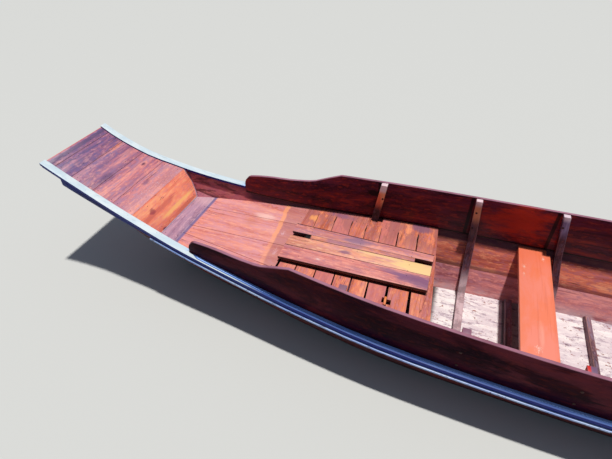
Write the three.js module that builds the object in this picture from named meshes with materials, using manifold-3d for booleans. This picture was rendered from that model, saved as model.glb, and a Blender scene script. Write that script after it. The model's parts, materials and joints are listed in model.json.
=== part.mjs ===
// A wooden longtail boat: a low planked hull with raised washboards, and a motor on a swivel at
// the stern that drives a propeller at the end of a long tail tube.
// Millimetres. +X runs to the bow, +Y to port, +Z up. The origin is amidships on the
// centreline, at the level of the water.
import * as THREE from "three";
import { mergeVertices } from "three/addons/utils/BufferGeometryUtils.js";
import Module from "manifold-3d";

const wasm = await Module();
wasm.setup();

// Driving dimensions

const CLEAR = 0.4;
const BOW_TIP = 3900;
const STERN_TIP = -3700;
const BOTTOM_THICK = 25;
const PLANK_THICK = 18;
const BOARD_THICK = 24;
const DECK_DROP = 12;
const GROOVE = { wide: 4, deep: 6 };
const RAIL = { thick: 20, inner: 10.5, reach: 45, lip: 3 };
const WASH = { thick: 22, below: 60, front: 2680, back: -2500, corner: 60 };
const RUB = { high: 20, round: 4, reach: 8, front: 3000, back: -3000 };

// Hull lines from bow to stern. half: centreline to the middle of the washboard.
// sheer: top of the rail. chine: half width of the bottom. keel: underside of the bottom.
// guard: depth of the cheek board below the rail. seam: height of the seam between the two
// side planks, as a share of the side. bulge: how far that seam stands out, as a share too.
const LINES = [
  { x: 3900, half: 304, sheer: 902, chine: 60, keel: 840, guard: 57, seam: 0.7, bulge: 0.03 },
  { x: 3750, half: 303, sheer: 818, chine: 64, keel: 700, guard: 57, seam: 0.7, bulge: 0.05 },
  { x: 3500, half: 317, sheer: 709, chine: 70, keel: 450, guard: 44, seam: 0.7, bulge: 0.06 },
  { x: 3300, half: 343, sheer: 647, chine: 76, keel: 248, guard: 34, seam: 0.7, bulge: 0.07 },
  { x: 3100, half: 369, sheer: 593, chine: 84, keel: 66, guard: 24, seam: 0.7, bulge: 0.055 },
  { x: 2900, half: 400, sheer: 547, chine: 98, keel: -36, guard: 12, seam: 0.7, bulge: 0.04 },
  { x: 2700, half: 430, sheer: 509, chine: 122, keel: -84, guard: 9, seam: 0.7, bulge: 0.038 },
  { x: 2300, half: 488, sheer: 455, chine: 196, keel: -110, guard: 8, seam: 0.68, bulge: 0.034 },
  { x: 1900, half: 552, sheer: 420, chine: 286, keel: -115, guard: 8, seam: 0.54, bulge: 0.04 },
  { x: 1300, half: 630, sheer: 388, chine: 396, keel: -115, guard: 8, seam: 0.4, bulge: 0.016 },
  { x: 500, half: 677, sheer: 369, chine: 445, keel: -115, guard: 8, seam: 0.38, bulge: 0.012 },
  { x: -100, half: 690, sheer: 364, chine: 471, keel: -115, guard: 8, seam: 0.38, bulge: 0.012 },
  { x: -900, half: 682, sheer: 369, chine: 469, keel: -115, guard: 8, seam: 0.38, bulge: 0.012 },
  { x: -1700, half: 630, sheer: 391, chine: 433, keel: -113, guard: 8, seam: 0.38, bulge: 0.012 },
  { x: -2300, half: 548, sheer: 429, chine: 368, keel: -102, guard: 8, seam: 0.4, bulge: 0.014 },
  { x: -2700, half: 482, sheer: 466, chine: 308, keel: -72, guard: 10, seam: 0.44, bulge: 0.02 },
  { x: -3100, half: 412, sheer: 517, chine: 236, keel: 36, guard: 26, seam: 0.48, bulge: 0.02 },
  { x: -3500, half: 352, sheer: 581, chine: 176, keel: 258, guard: 44, seam: 0.5, bulge: 0.02 },
  { x: -3700, half: 330, sheer: 618, chine: 156, keel: 398, guard: 52, seam: 0.5, bulge: 0.02 },
];

// Top edge of the washboard. The rounded front end and each cusp are corners between runs.
const WASH_TOP = [
  [
    { x: 2680, top: 594 },
    { x: 2630, top: 608 },
    { x: 2480, top: 618 },
    { x: 2280, top: 614 },
    { x: 2120, top: 625 },
    { x: 2010, top: 662 },
    { x: 1900, top: 700 },
  ],
  [
    { x: 1900, top: 700 },
    { x: 1500, top: 682 },
    { x: 1100, top: 670 },
    { x: 700, top: 661 },
    { x: 0, top: 655 },
    { x: -900, top: 660 },
    { x: -1700, top: 690 },
  ],
  [
    { x: -1700, top: 690 },
    { x: -1830, top: 646 },
    { x: -1980, top: 618 },
    { x: -2200, top: 612 },
    { x: -2440, top: 610 },
    { x: -2500, top: 596 },
  ],
];

// Transverse frames. x: place of the frame's top. lean: how far its foot lies aft of its top,
// as a share of the height. underFloor: a beam under the floor instead of a foot.
const FRAMES = [
  { name: "frame_1", x: 1562, lean: 0, underFloor: true },
  { name: "frame_2", x: 870, lean: 0.045, underFloor: false },
  { name: "frame_3", x: 284, lean: 0, underFloor: false },
  { name: "frame_4", x: -420, lean: 0, underFloor: false },
  { name: "frame_5", x: -1110, lean: 0, underFloor: false },
  { name: "frame_6", x: -1800, lean: 0, underFloor: false },
];
const FRAME = {
  wide: 46, arm: 40, shoulder: 46, knee: 54, kneeRise: 20, foot: 46, heel: 88, floorHeel: 72, topDrop: 5,
};

// Low timbers across the bottom between the frames. wide: size along the boat.
const TIMBERS = [
  { name: "floor_timber_1", x: 482, wide: 45 },
  { name: "floor_timber_2", x: -72, wide: 35 },
  { name: "floor_timber_3", x: -760, wide: 45 },
];
const TIMBER = { high: 52, setBack: 26, rise: 14 };

// Seats across the boat. Their ends lie against the side planks.
const THWARTS = [
  { name: "thwart_red", aft: 284, fore: 505, top: 300, slot: "red_paint" },
  { name: "thwart_middle", aft: -700, fore: -490, top: 298, slot: "varnish" },
  { name: "thwart_aft", aft: -1470, fore: -1260, top: 302, slot: "varnish" },
];
const THWART_THICK = 30;

// Bow platform. The floor rises gently towards the ramp.
const FLOOR = { aft: 1055, aftTop: 331, fore: 3085, foreTop: 383 };
const RAMP = { top: 3200, foot: 3085, thick: 24.7 };
const CROSS_PLANK = { aft: 2938, fore: 3112 };
const PLANKED_AFT = 2139;
const DECK_SEAMS = [3372, 3545, 3716, 3838];
// Seams between the floor planks: distance to port at the fore and at the aft end.
const FLOOR_SEAMS = [
  { fore: -202, aft: -265 },
  { fore: 50, aft: 8 },
  { fore: 150, aft: 255 },
];

// The grating's slats lie a little askew: each line across it moves aft towards port.
// reach: half length of the open part of a gap.
const GRATING = { reach: 462, skew: 0.069, pivot: 140 };
const GRATING_GAPS = [
  { x: 2003, wide: 4 },
  { x: 1859, wide: 4 },
  { x: 1723, wide: 4 },
  { x: 1603, wide: 4 },
  { x: 1486, wide: 4 },
  { x: 1352, wide: 9 },
  { x: 1201, wide: 9 },
];
const FINGER_HOLES = [
  { x: 1338, y: 206 },
  { x: 1368, y: 226 },
];
const FINGER_HOLE = { long: 26, wide: 13 };
const BEAM = { wide: 40, high: 58, lap: 1 };

// Low bench of loose boards on the grating.
const SEAT = { aft: 1098, fore: 2143, rise: 66 };
const SEAT_BOARDS = [
  { name: "seat_board_starboard", low: -219, high: -118.4 },
  { name: "seat_board_middle", low: -76.6, high: 36.6 },
  { name: "seat_board_port", low: 37.4, high: 176 },
];
const SEAT_BATTEN = { aft: 1222, fore: 2030, low: -118, high: -77 };
const SEAT_BEARERS = [1250, 1626, 2002];
const SEAT_BEARER = { wide: 44, low: -200, high: 158 };

// Stern platform, ramp and deck.
const STERN_FLOOR = { aft: -2760, fore: -2060, top: 318 };
const STERN_RAMP = { top: -2860, foot: -2768, thick: 25 };
const STERN_SEAMS = [-3030, -3200, -3370];
const STERN_BEAMS = [-2110, -2700];

// Motor. The tail tube lies level at rest, above the water.
const PIVOT = { x: -3600, z: 778 };
const SHAFT_Z = 836;
const PROP_X = -6010;
const SIDES = 24;

// Materials

const finish = (color, roughness, metalness = 0) =>
  new THREE.MeshStandardMaterial({ color, roughness, metalness });
const MATERIALS = {
  varnish: () => finish(0x9c4a34, 0.45),
  dark_varnish: () => finish(0x3a1512, 0.35),
  floor_wood: () => finish(0xc46a50, 0.6),
  grating_wood: () => finish(0xd0784c, 0.6),
  frame_wood: () => finish(0x5c3024, 0.6),
  inner_planks: () => finish(0x7a3e26, 0.6),
  bottom_paint: () => finish(0x6b1a10, 0.5),
  red_paint: () => finish(0xe8603c, 0.5),
  rail_blue: () => finish(0xa9c6d6, 0.45),
  navy_paint: () => finish(0x1d2455, 0.4),
  steel_paint: () => finish(0x3c4248, 0.5, 0.3),
  galvanised: () => finish(0x9aa0a2, 0.45, 0.8),
  cast_alloy: () => finish(0xa8aaa8, 0.45, 0.7),
  tank_paint: () => finish(0xb8412c, 0.35),
  black_plastic: () => finish(0x1c1d1f, 0.55),
  heat_steel: () => finish(0x5b4a40, 0.6, 0.7),
  rubber_grip: () => finish(0x141414, 0.8),
  bronze: () => finish(0xb08a4a, 0.35, 0.9),
};

// Sizes of cutting bodies: wider and taller than the hull, and how far they pass through a face.
const WIDE = 1000;
const TALL = 400;
const SPARE = 5;

const boat = new THREE.Group();

// Solid modelling helpers

// A closed body as a manifold: only positions are kept, and shared corners are merged.
function solid(geometry) {
  const bare = geometry.clone();
  bare.deleteAttribute("normal");
  bare.deleteAttribute("uv");
  const merged = mergeVertices(bare);
  return new wasm.Manifold(new wasm.Mesh({
    numProp: 3,
    vertProperties: merged.attributes.position.array,
    triVerts: new Uint32Array(merged.index.array),
  }));
}

function geometryOf(body) {
  const mesh = body.getMesh();
  const geometry = new THREE.BufferGeometry();
  geometry.setAttribute("position", new THREE.BufferAttribute(new Float32Array(mesh.vertProperties), 3));
  geometry.setIndex(new THREE.BufferAttribute(new Uint32Array(mesh.triVerts), 1));
  return geometry;
}

function addPiece(name, body, slot, parent = boat) {
  const mesh = new THREE.Mesh(geometryOf(body), MATERIALS[slot]());
  mesh.name = name;
  parent.add(mesh);
}

const area = (outline) => THREE.ShapeUtils.area(outline);

// Neighbouring bodies split their four-sided faces the same way, so that they meet closely.
const isUpward = (start, end) => (Math.abs(start.z - end.z) > 1e-6
  ? start.z < end.z
  : Math.abs(start.y) < Math.abs(end.y));

// A closed body through flat rings with the same number of corners.
// outline gives the corners of a ring in its own plane, for the two end faces.
function loft(rings, outline) {
  const points = rings.flat();
  const count = rings[0].length;
  const last = (rings.length - 1) * count;
  const faces = [];
  for (let ring = 0; ring < rings.length - 1; ring += 1) {
    for (let corner = 0; corner < count; corner += 1) {
      const first = ring * count + corner;
      const second = ring * count + (corner + 1) % count;
      const upward = isUpward(points[first], points[second]);
      const [a, b] = upward ? [first, second] : [second, first];
      const split = [[a, b, b + count], [a, b + count, a + count]];
      faces.push(...split.map((face) => (upward ? face : face.reverse())));
    }
  }
  const turn = Math.sign(area(outline));
  for (const triangle of THREE.ShapeUtils.triangulateShape(outline, [])) {
    const same = Math.sign(area(triangle.map((corner) => outline[corner]))) === turn;
    const [a, b, c] = same ? triangle : [...triangle].reverse();
    faces.push([a, c, b], [last + a, last + b, last + c]);
  }
  const volume = faces.reduce(
    (sum, [a, b, c]) => sum + points[a].dot(points[b].clone().cross(points[c])), 0);
  const outward = volume > 0 ? faces : faces.map(([a, b, c]) => [a, c, b]);
  const geometry = new THREE.BufferGeometry();
  geometry.setAttribute("position",
    new THREE.Float32BufferAttribute(points.flatMap((point) => point.toArray()), 3));
  geometry.setIndex(outward.flat());
  return solid(geometry);
}

// A body along the boat: corners(x) gives the section's corners as [y, z].
function along(places, corners) {
  const rings = places.map((x) => corners(x).map(([y, z]) => new THREE.Vector3(x, y, z)));
  const outline = corners(places[0]).map(([y, z]) => new THREE.Vector2(y, z));
  return loft(rings, outline);
}

const shapeOf = (corners) => new THREE.Shape(corners.map(([u, v]) => new THREE.Vector2(u, v)));

// A profile in the XZ plane, carried across the boat from low to high in Y.
function profile(corners, low, high) {
  const geometry = new THREE.ExtrudeGeometry(shapeOf(corners), { depth: high - low, bevelEnabled: false });
  geometry.rotateX(Math.PI / 2);
  geometry.translate(0, high, 0);
  return solid(geometry);
}

// An outline in the YZ plane, carried along the boat from aft to fore in X.
function crosswise(corners, aft, fore) {
  const geometry = new THREE.ExtrudeGeometry(shapeOf(corners), { depth: fore - aft, bevelEnabled: false });
  const turned = new THREE.Matrix4().makeBasis(
    new THREE.Vector3(0, 1, 0), new THREE.Vector3(0, 0, 1), new THREE.Vector3(1, 0, 0));
  geometry.applyMatrix4(turned);
  geometry.translate(aft, 0, 0);
  return solid(geometry);
}

function block(x, y, z) {
  const geometry = new THREE.BoxGeometry(x[1] - x[0], y[1] - y[0], z[1] - z[0]);
  geometry.translate((x[0] + x[1]) / 2, (y[0] + y[1]) / 2, (z[0] + z[1]) / 2);
  return solid(geometry);
}

// A round bar or cone along an axis. from and to are radii at its start and end.
function bar(start, end, from, to = from, sides = SIDES) {
  const span = new THREE.Vector3().subVectors(end, start);
  const geometry = new THREE.CylinderGeometry(to, from, span.length(), sides);
  const turn = new THREE.Quaternion().setFromUnitVectors(
    new THREE.Vector3(0, 1, 0), span.clone().normalize());
  geometry.applyQuaternion(turn);
  geometry.translate(...new THREE.Vector3().addVectors(start, end).multiplyScalar(0.5).toArray());
  return solid(geometry);
}

const at = (x, y, z) => new THREE.Vector3(x, y, z);

// A box with rounded long edges, its length along X.
function roundedBar(x, y, z, radius) {
  const shape = new THREE.Shape();
  shape.moveTo(y[0] + radius, z[0]);
  shape.lineTo(y[1] - radius, z[0]);
  shape.absarc(y[1] - radius, z[0] + radius, radius, -Math.PI / 2, 0);
  shape.absarc(y[1] - radius, z[1] - radius, radius, 0, Math.PI / 2);
  shape.absarc(y[0] + radius, z[1] - radius, radius, Math.PI / 2, Math.PI);
  shape.absarc(y[0] + radius, z[0] + radius, radius, Math.PI, Math.PI * 1.5);
  const outline = shape.extractPoints(3).shape.map((point) => [point.x, point.y]);
  return crosswise(outline, x[0], x[1]);
}

// Hull form

// Value of a column between the rows of a table, on a smooth curve through them.
function smooth(rows, column, x) {
  const forward = rows[0].x > rows[rows.length - 1].x ? [...rows].reverse() : rows;
  const found = forward.findIndex((row) => row.x >= x);
  const high = Math.min(Math.max(found < 0 ? forward.length - 1 : found, 1), forward.length - 1);
  const slope = (index) => {
    const before = forward[Math.max(index - 1, 0)];
    const after = forward[Math.min(index + 1, forward.length - 1)];
    return (after[column] - before[column]) / (after.x - before.x);
  };
  const start = forward[high - 1];
  const end = forward[high];
  const span = end.x - start.x;
  const t = (x - start.x) / span;
  const rise = t * t * (3 - 2 * t);
  return start[column] * (1 - rise) + end[column] * rise
    + span * slope(high - 1) * t * (1 - t) * (1 - t)
    - span * slope(high) * t * t * (1 - t);
}

// Stations of the hull: close together in the curved bow, wider apart behind it.
const GRID = [];
for (let x = BOW_TIP; x > 2300; x -= 100) {
  GRID.push(x);
}
for (let x = 2300; x >= STERN_TIP; x -= 200) {
  GRID.push(x);
}

// The sizes of one station. low: inside of the bottom. high: top of the side planks.
// seam and seamOut: height and half width at the planks' seam. topOut: half width at their top.
const STATIONS = GRID.map((x) => {
  const [half, sheer, chine, keel, guard, share, bulge] = [
    "half", "sheer", "chine", "keel", "guard", "seam", "bulge"].map((column) => smooth(LINES, column, x));
  const outer = half + RAIL.reach;
  const low = keel + BOTTOM_THICK;
  const high = sheer - RAIL.thick - CLEAR;
  const seam = THREE.MathUtils.lerp(low, high, share);
  const topOut = outer - RAIL.lip;
  const seamOut = THREE.MathUtils.mapLinear(seam, keel, high, chine, topOut) + bulge * (high - keel);
  return { x, half, sheer, chine, keel, guard, outer, low, high, seam, topOut, seamOut };
});
const COLUMNS = Object.keys(STATIONS[0]);

// Sizes of the hull at any place, on straight lines between the stations.
function hullAt(x) {
  const index = Math.min(Math.max(GRID.findIndex((place) => place <= x), 1), GRID.length - 1);
  const fore = STATIONS[index - 1];
  const aft = STATIONS[index];
  const part = (fore.x - x) / (fore.x - aft.x);
  const mixed = COLUMNS.map((column) => [column, THREE.MathUtils.lerp(fore[column], aft[column], part)]);
  return Object.fromEntries(mixed);
}

// Outer face of the side planks at a height.
function sideAt(hull, z) {
  const below = z < hull.seam;
  const [z0, y0] = below ? [hull.keel, hull.chine] : [hull.seam, hull.seamOut];
  const [z1, y1] = below ? [hull.seam, hull.seamOut] : [hull.high, hull.topOut];
  return THREE.MathUtils.mapLinear(z, z0, z1, y0, y1);
}

const between = (aft, fore, extra = []) => [...new Set([aft, fore, ...GRID, ...extra])]
  .filter((x) => x >= aft && x <= fore)
  .sort((a, b) => b - a);

const SIDE_NAMES = [["port", 1], ["starboard", -1]];
const eachSide = (make) => SIDE_NAMES.forEach(([name, side]) => make(name, side));
const mirrored = (corners, side) => corners.map(([y, z]) => [y * side, z]);

// The hull's outer form, swollen by grow, and the space inside its planks, shrunk by clear.
function outerForm(grow) {
  return along(GRID, (x) => {
    const hull = hullAt(x);
    const port = [
      [hull.chine + grow, hull.keel - grow],
      [hull.seamOut + grow, hull.seam],
      [hull.topOut + grow, hull.high],
    ];
    return [...port, ...mirrored(port, -1).reverse()];
  });
}

function innerForm(clear) {
  return along(GRID, (x) => {
    const hull = hullAt(x);
    const low = hull.low + clear;
    const inset = PLANK_THICK + clear;
    const port = [
      [sideAt(hull, low) - inset, low],
      [hull.seamOut - inset, hull.seam],
      [hull.topOut - inset, hull.high],
      [hull.topOut - inset, hull.sheer + TALL],
    ];
    return [...port, ...mirrored(port, -1).reverse()];
  });
}

// Everything between two heights of each section, wider than the hull.
function band(lowOf, highOf, aft = STERN_TIP, fore = BOW_TIP) {
  return along(between(aft, fore), (x) => {
    const hull = hullAt(x);
    return [[-WIDE, lowOf(hull)], [WIDE, lowOf(hull)], [WIDE, highOf(hull)], [-WIDE, highOf(hull)]];
  });
}

// Everything on one side of the boat, from a distance off the centreline outwards.
function flank(side, innerOf, lowOf, highOf) {
  return along(GRID, (x) => {
    const hull = hullAt(x);
    const inner = innerOf(hull);
    return mirrored([
      [inner, lowOf(hull)],
      [WIDE, lowOf(hull)],
      [WIDE, highOf(hull)],
      [inner, highOf(hull)],
    ], side);
  });
}

// Washboards

const washTop = (x) => {
  const run = WASH_TOP.find((rows) => x <= rows[0].x && x >= rows[rows.length - 1].x);
  return smooth(run, "top", x);
};

// Rounds the two top corners of the board's ends.
function washTopAt(x) {
  const inset = Math.min(WASH.front - x, x - WASH.back);
  if (inset >= WASH.corner) {
    return washTop(x);
  }
  const drop = WASH.corner - Math.sqrt(WASH.corner ** 2 - (WASH.corner - inset) ** 2);
  return washTop(x) - drop;
}

const WASH_PLACES = [2678, 2670, 2652, 2630, 2560, 2440, 2350, 2250, 2150, 2100, 2050, 2000, 1950, 1900,
  -1700, -1750, -1800, -1850, -1950, -2200, -2450, -2472, -2490, -2498];

function washboard(side, grow) {
  return along(between(WASH.back - grow, WASH.front + grow, WASH_PLACES), (x) => {
    const hull = hullAt(x);
    const top = washTopAt(THREE.MathUtils.clamp(x, WASH.back, WASH.front)) + grow;
    const low = hull.sheer - WASH.below - grow;
    const inner = hull.half - WASH.thick / 2 - grow;
    const outer = hull.half + WASH.thick / 2 + grow;
    return mirrored([[inner, low], [outer, low], [outer, top], [inner, top]], side);
  });
}

eachSide((name, side) => addPiece(`washboard_${name}`, washboard(side, 0), "dark_varnish"));

// Bottom and side planks. The washboards are let into the upper planks.

const OUTER = outerForm(0);
const SHELL = OUTER.subtract(innerForm(0));
const lowest = band((hull) => hull.keel - TALL, (hull) => hull.low);
addPiece("hull_bottom", OUTER.intersect(lowest), "bottom_paint");

eachSide((name, side) => {
  const lower = flank(side, () => 0, (hull) => hull.low + CLEAR, (hull) => hull.seam - CLEAR / 2);
  const upper = flank(side, () => 0, (hull) => hull.seam + CLEAR / 2, (hull) => hull.high);
  addPiece(`strake_lower_${name}`, SHELL.intersect(lower), "inner_planks");
  const housed = SHELL.intersect(upper).subtract(washboard(side, CLEAR));
  addPiece(`strake_upper_${name}`, housed, "inner_planks");
});

// Rails, cheek boards and rub strips

eachSide((name, side) => {
  const whole = along(between(STERN_TIP, BOW_TIP), (x) => {
    const hull = hullAt(x);
    const inner = hull.half - RAIL.inner;
    const low = hull.sheer - RAIL.thick;
    return mirrored([[inner, low], [hull.outer, low], [hull.outer, hull.sheer], [inner, hull.sheer]], side);
  });
  addPiece(`rail_${name}`, whole.subtract(washboard(side, CLEAR)), "rail_blue");
});

// The cheek board is cut back to a slim strip at the tip of the bow, in front of the step.
const CHEEK = { inset: 2, deep: 130, back: -3690, front: 3890, step: 3757, slim: 8 };
const OUTSIDE = outerForm(CLEAR);
eachSide((name, side) => {
  const cheek = along(between(CHEEK.back, CHEEK.front, [CHEEK.step, CHEEK.step + 1]), (x) => {
    const hull = hullAt(x);
    const outer = hull.outer - CHEEK.inset;
    const low = hull.high - (x > CHEEK.step ? CHEEK.slim : hull.guard);
    const inner = outer - CHEEK.deep;
    return mirrored([[inner, low], [outer, low], [outer, hull.high], [inner, hull.high]], side);
  });
  addPiece(`cheek_board_${name}`, cheek.subtract(OUTSIDE), "navy_paint");
  const strip = along(between(RUB.back, RUB.front), (x) => {
    const hull = hullAt(x);
    const high = hull.high - hull.guard - CLEAR;
    const low = high - RUB.high;
    const outer = hull.outer + RUB.reach;
    const inner = outer - CHEEK.deep;
    return mirrored([[inner, low], [outer, low + RUB.round], [outer, high - RUB.round], [inner, high]], side);
  });
  addPiece(`rub_strip_${name}`, strip.subtract(OUTSIDE), "rail_blue");
});

// End boards that close the hull at the bow and at the stern

// The space that decks, floors and frames fill, clear of planks, rails and washboards.
const overRails = SIDE_NAMES.map(([, side]) => flank(side, (hull) => hull.half - RAIL.inner - CLEAR,
  (hull) => hull.sheer - RAIL.thick - CLEAR, (hull) => hull.sheer + 2 * TALL));
const INSIDE = [washboard(1, CLEAR), washboard(-1, CLEAR), ...overRails]
  .reduce((left, cut) => left.subtract(cut), innerForm(CLEAR));

function endBoard(aft, fore, reach) {
  const low = Math.min(hullAt(aft).keel, hullAt(fore).keel);
  const high = Math.min(hullAt(aft).sheer, hullAt(fore).sheer) - DECK_DROP - BOARD_THICK - CLEAR;
  return block([aft, fore], [-reach, reach], [low, high]).intersect(innerForm(CLEAR));
}

const BOW_END = { aft: 3850, reach: 185 };
addPiece("bow_end_board", endBoard(BOW_END.aft, BOW_END.aft + BOARD_THICK, BOW_END.reach), "varnish");
addPiece("stern_end_board", endBoard(STERN_TIP, STERN_TIP + BOARD_THICK, WIDE), "varnish");

// Frames and floor timbers

const floorTop = (x) => THREE.MathUtils.mapLinear(x, FLOOR.aft, FLOOR.fore, FLOOR.aftTop, FLOOR.foreTop);

// Outline of a frame. grow widens it all round for cutting what it passes through.
function frameOutline(row, grow) {
  const hull = hullAt(row.x);
  const spare = 12;
  const wall = hull.half - WASH.thick / 2;
  const top = washTop(row.x) - FRAME.topDrop + grow;
  const washLow = hull.sheer - WASH.below;
  const inner = (z) => sideAt(hull, z) - PLANK_THICK;
  const under = floorTop(row.x - FRAME.wide / 2) - BOARD_THICK - CLEAR;
  const foot = row.underFloor ? under - BEAM.high - grow : hull.low - spare;
  const shelf = (row.underFloor ? under : hull.low + FRAME.foot) + grow;
  const knee = row.underFloor ? (under + washLow) / 2 : hull.seam + FRAME.kneeRise;
  const heel = row.underFloor ? FRAME.floorHeel : FRAME.heel;
  const port = [
    [inner(foot) + spare, foot],
    [Math.max(inner(washLow), wall) + spare, washLow],
    [wall + spare, washLow],
    [wall + spare, top],
    [wall - FRAME.arm - grow, top],
    [wall - FRAME.shoulder - grow, washLow],
    [inner(knee) - FRAME.knee - grow, knee],
    [inner(shelf) - heel - grow, shelf],
  ];
  return [...port, ...mirrored(port, -1).reverse()];
}

function frameSolid(row, grow) {
  const half = FRAME.wide / 2 + grow;
  const top = washTop(row.x);
  const leaning = [1, 0, 0, 0, 0, 1, 0, 0, row.lean, 0, 1, 0, -row.lean * top, 0, 0, 1];
  return crosswise(frameOutline(row, grow), row.x - half, row.x + half).transform(leaning);
}

FRAMES.forEach((row) => addPiece(row.name, frameSolid(row, 0).intersect(INSIDE), "frame_wood"));
const FRAME_CUTS = FRAMES.map((row) => frameSolid(row, 2 * CLEAR));

// What is left of a board between the frames, without the slivers that such a cut can leave.
const largest = (parts) => parts.reduce((most, part) => (part.volume() > most.volume() ? part : most));
const clearOfFrames = (body) => largest(
  FRAME_CUTS.reduce((left, cut) => left.subtract(cut), body).decompose());

TIMBERS.forEach(({ name, x, wide }) => {
  const hull = hullAt(x);
  const spare = 5;
  const reach = sideAt(hull, hull.low) - PLANK_THICK;
  const port = [
    [reach, hull.low - spare],
    [reach + spare, hull.low + TIMBER.rise],
    [reach - TIMBER.setBack, hull.low + TIMBER.high],
  ];
  const outline = [...port, ...mirrored(port, -1).reverse()];
  addPiece(name, crosswise(outline, x - wide / 2, x + wide / 2).intersect(INSIDE), "frame_wood");
});

// Thwarts

THWARTS.forEach(({ name, aft, fore, top, slot }) => {
  const board = block([aft, fore], [-WIDE, WIDE], [top - THWART_THICK, top]);
  addPiece(name, clearOfFrames(board.intersect(INSIDE)), slot);
});

// Bow deck and ramp

const deckTop = (x) => hullAt(x).sheer - DECK_DROP;

function deck(aft, fore, seams) {
  const whole = along(between(aft, fore), (x) => {
    const reach = hullAt(x).half - RAIL.inner - 2 * CLEAR;
    const top = deckTop(x);
    return [[-reach, top - BOARD_THICK], [reach, top - BOARD_THICK], [reach, top], [-reach, top]];
  });
  return seams.reduce((left, x) => {
    const top = deckTop(x);
    const cut = block([x - GROOVE.wide / 2, x + GROOVE.wide / 2], [-WIDE, WIDE],
      [top - GROOVE.deep, top + BOARD_THICK]);
    return left.subtract(cut);
  }, whole.intersect(innerForm(CLEAR)));
}

addPiece("bow_deck", deck(RAMP.top + CLEAR, BOW_TIP, DECK_SEAMS), "varnish");

// A sloping board from the floor up to the deck. Its foot stands on the floor.
function ramp(top, foot, thick, floor) {
  const high = deckTop(top);
  const low = floor + CLEAR;
  const run = (top - foot) / (high - low);
  const away = Math.sign(top - foot) * thick;
  const corners = [[foot, low], [foot + away, low], [top, high - away / run], [top, high]];
  const ordered = top > foot ? corners : [...corners].reverse();
  return profile(ordered, -WIDE, WIDE).intersect(INSIDE);
}

addPiece("bow_ramp", ramp(RAMP.top, RAMP.foot, RAMP.thick, floorTop(RAMP.foot + RAMP.thick)), "varnish");

// Bow floor

function slab(aft, fore, topOf, thick) {
  return profile([
    [aft, topOf(aft) - thick],
    [fore, topOf(fore) - thick],
    [fore, topOf(fore)],
    [aft, topOf(aft)],
  ], -WIDE, WIDE);
}

function beamUnder(x, topOf, width = BEAM.wide) {
  const high = topOf(x) - BOARD_THICK + BEAM.lap;
  return block([x - width / 2, x + width / 2], [-WIDE, WIDE], [high - BEAM.high, high]);
}

const crossPlank = slab(CROSS_PLANK.aft, CROSS_PLANK.fore, floorTop, BOARD_THICK)
  .add(beamUnder(CROSS_PLANK.fore - BEAM.wide, floorTop));
addPiece("ramp_foot_plank", crossPlank.intersect(INSIDE), "varnish");

const floorGrooves = FLOOR_SEAMS.map(({ fore, aft }) => along(
  [CROSS_PLANK.aft + SPARE, PLANKED_AFT - SPARE], (x) => {
    const y = THREE.MathUtils.mapLinear(x, PLANKED_AFT, CROSS_PLANK.aft, aft, fore);
    const [starboard, port] = [y - GROOVE.wide / 2, y + GROOVE.wide / 2];
    const low = floorTop(x) - GROOVE.deep;
    return [[starboard, low], [port, low], [port, low + TALL], [starboard, low + TALL]];
  }));
const planked = slab(PLANKED_AFT, CROSS_PLANK.aft - CLEAR, floorTop, BOARD_THICK)
  .add(beamUnder(PLANKED_AFT + BEAM.wide / 2, floorTop))
  .add(beamUnder(CROSS_PLANK.aft - BEAM.wide, floorTop));
const floorPlanks = floorGrooves.reduce((left, cut) => left.subtract(cut), planked);
addPiece("floor_planks", floorPlanks.intersect(INSIDE), "floor_wood");

// Grating of slats across the boat, held together along its sides
const skewed = (body) => body.transform(
  [1, 0, 0, 0, -GRATING.skew, 1, 0, 0, 0, 0, 1, 0, GRATING.skew * GRATING.pivot, 0, 0, 1]);
const throughFloor = (x, y) => skewed(block(x, y,
  [FLOOR.aftTop - 2 * BEAM.high, FLOOR.foreTop + BEAM.high]));
const gratingWhole = slab(FLOOR.aft - TALL, PLANKED_AFT - CLEAR, floorTop, BOARD_THICK)
  .subtract(throughFloor([FLOOR.aft - WIDE, FLOOR.aft], [-WIDE, WIDE]))
  .add(skewed(beamUnder(FLOOR.aft + BEAM.wide / 2, floorTop)));
const slots = GRATING_GAPS.map(({ x, wide }) => throughFloor([x - wide / 2, x + wide / 2],
  [-GRATING.reach, GRATING.reach]));
const holes = FINGER_HOLES.map(({ x, y }) => throughFloor(
  [x - FINGER_HOLE.wide / 2, x + FINGER_HOLE.wide / 2],
  [y - FINGER_HOLE.long / 2, y + FINGER_HOLE.long / 2]));
const grating = [...slots, ...holes].reduce((left, cut) => left.subtract(cut), gratingWhole);
addPiece("grating", clearOfFrames(grating.intersect(INSIDE)), "grating_wood");

// Low bench

const seatTop = (x) => floorTop(x) + SEAT.rise;
const seatStrip = (aft, fore, low, high) => profile([
  [aft, seatTop(aft) - BOARD_THICK],
  [fore, seatTop(fore) - BOARD_THICK],
  [fore, seatTop(fore)],
  [aft, seatTop(aft)],
], low, high);

SEAT_BOARDS.forEach(({ name, low, high }) => {
  addPiece(name, seatStrip(SEAT.aft, SEAT.fore, low, high), "grating_wood");
});

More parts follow.
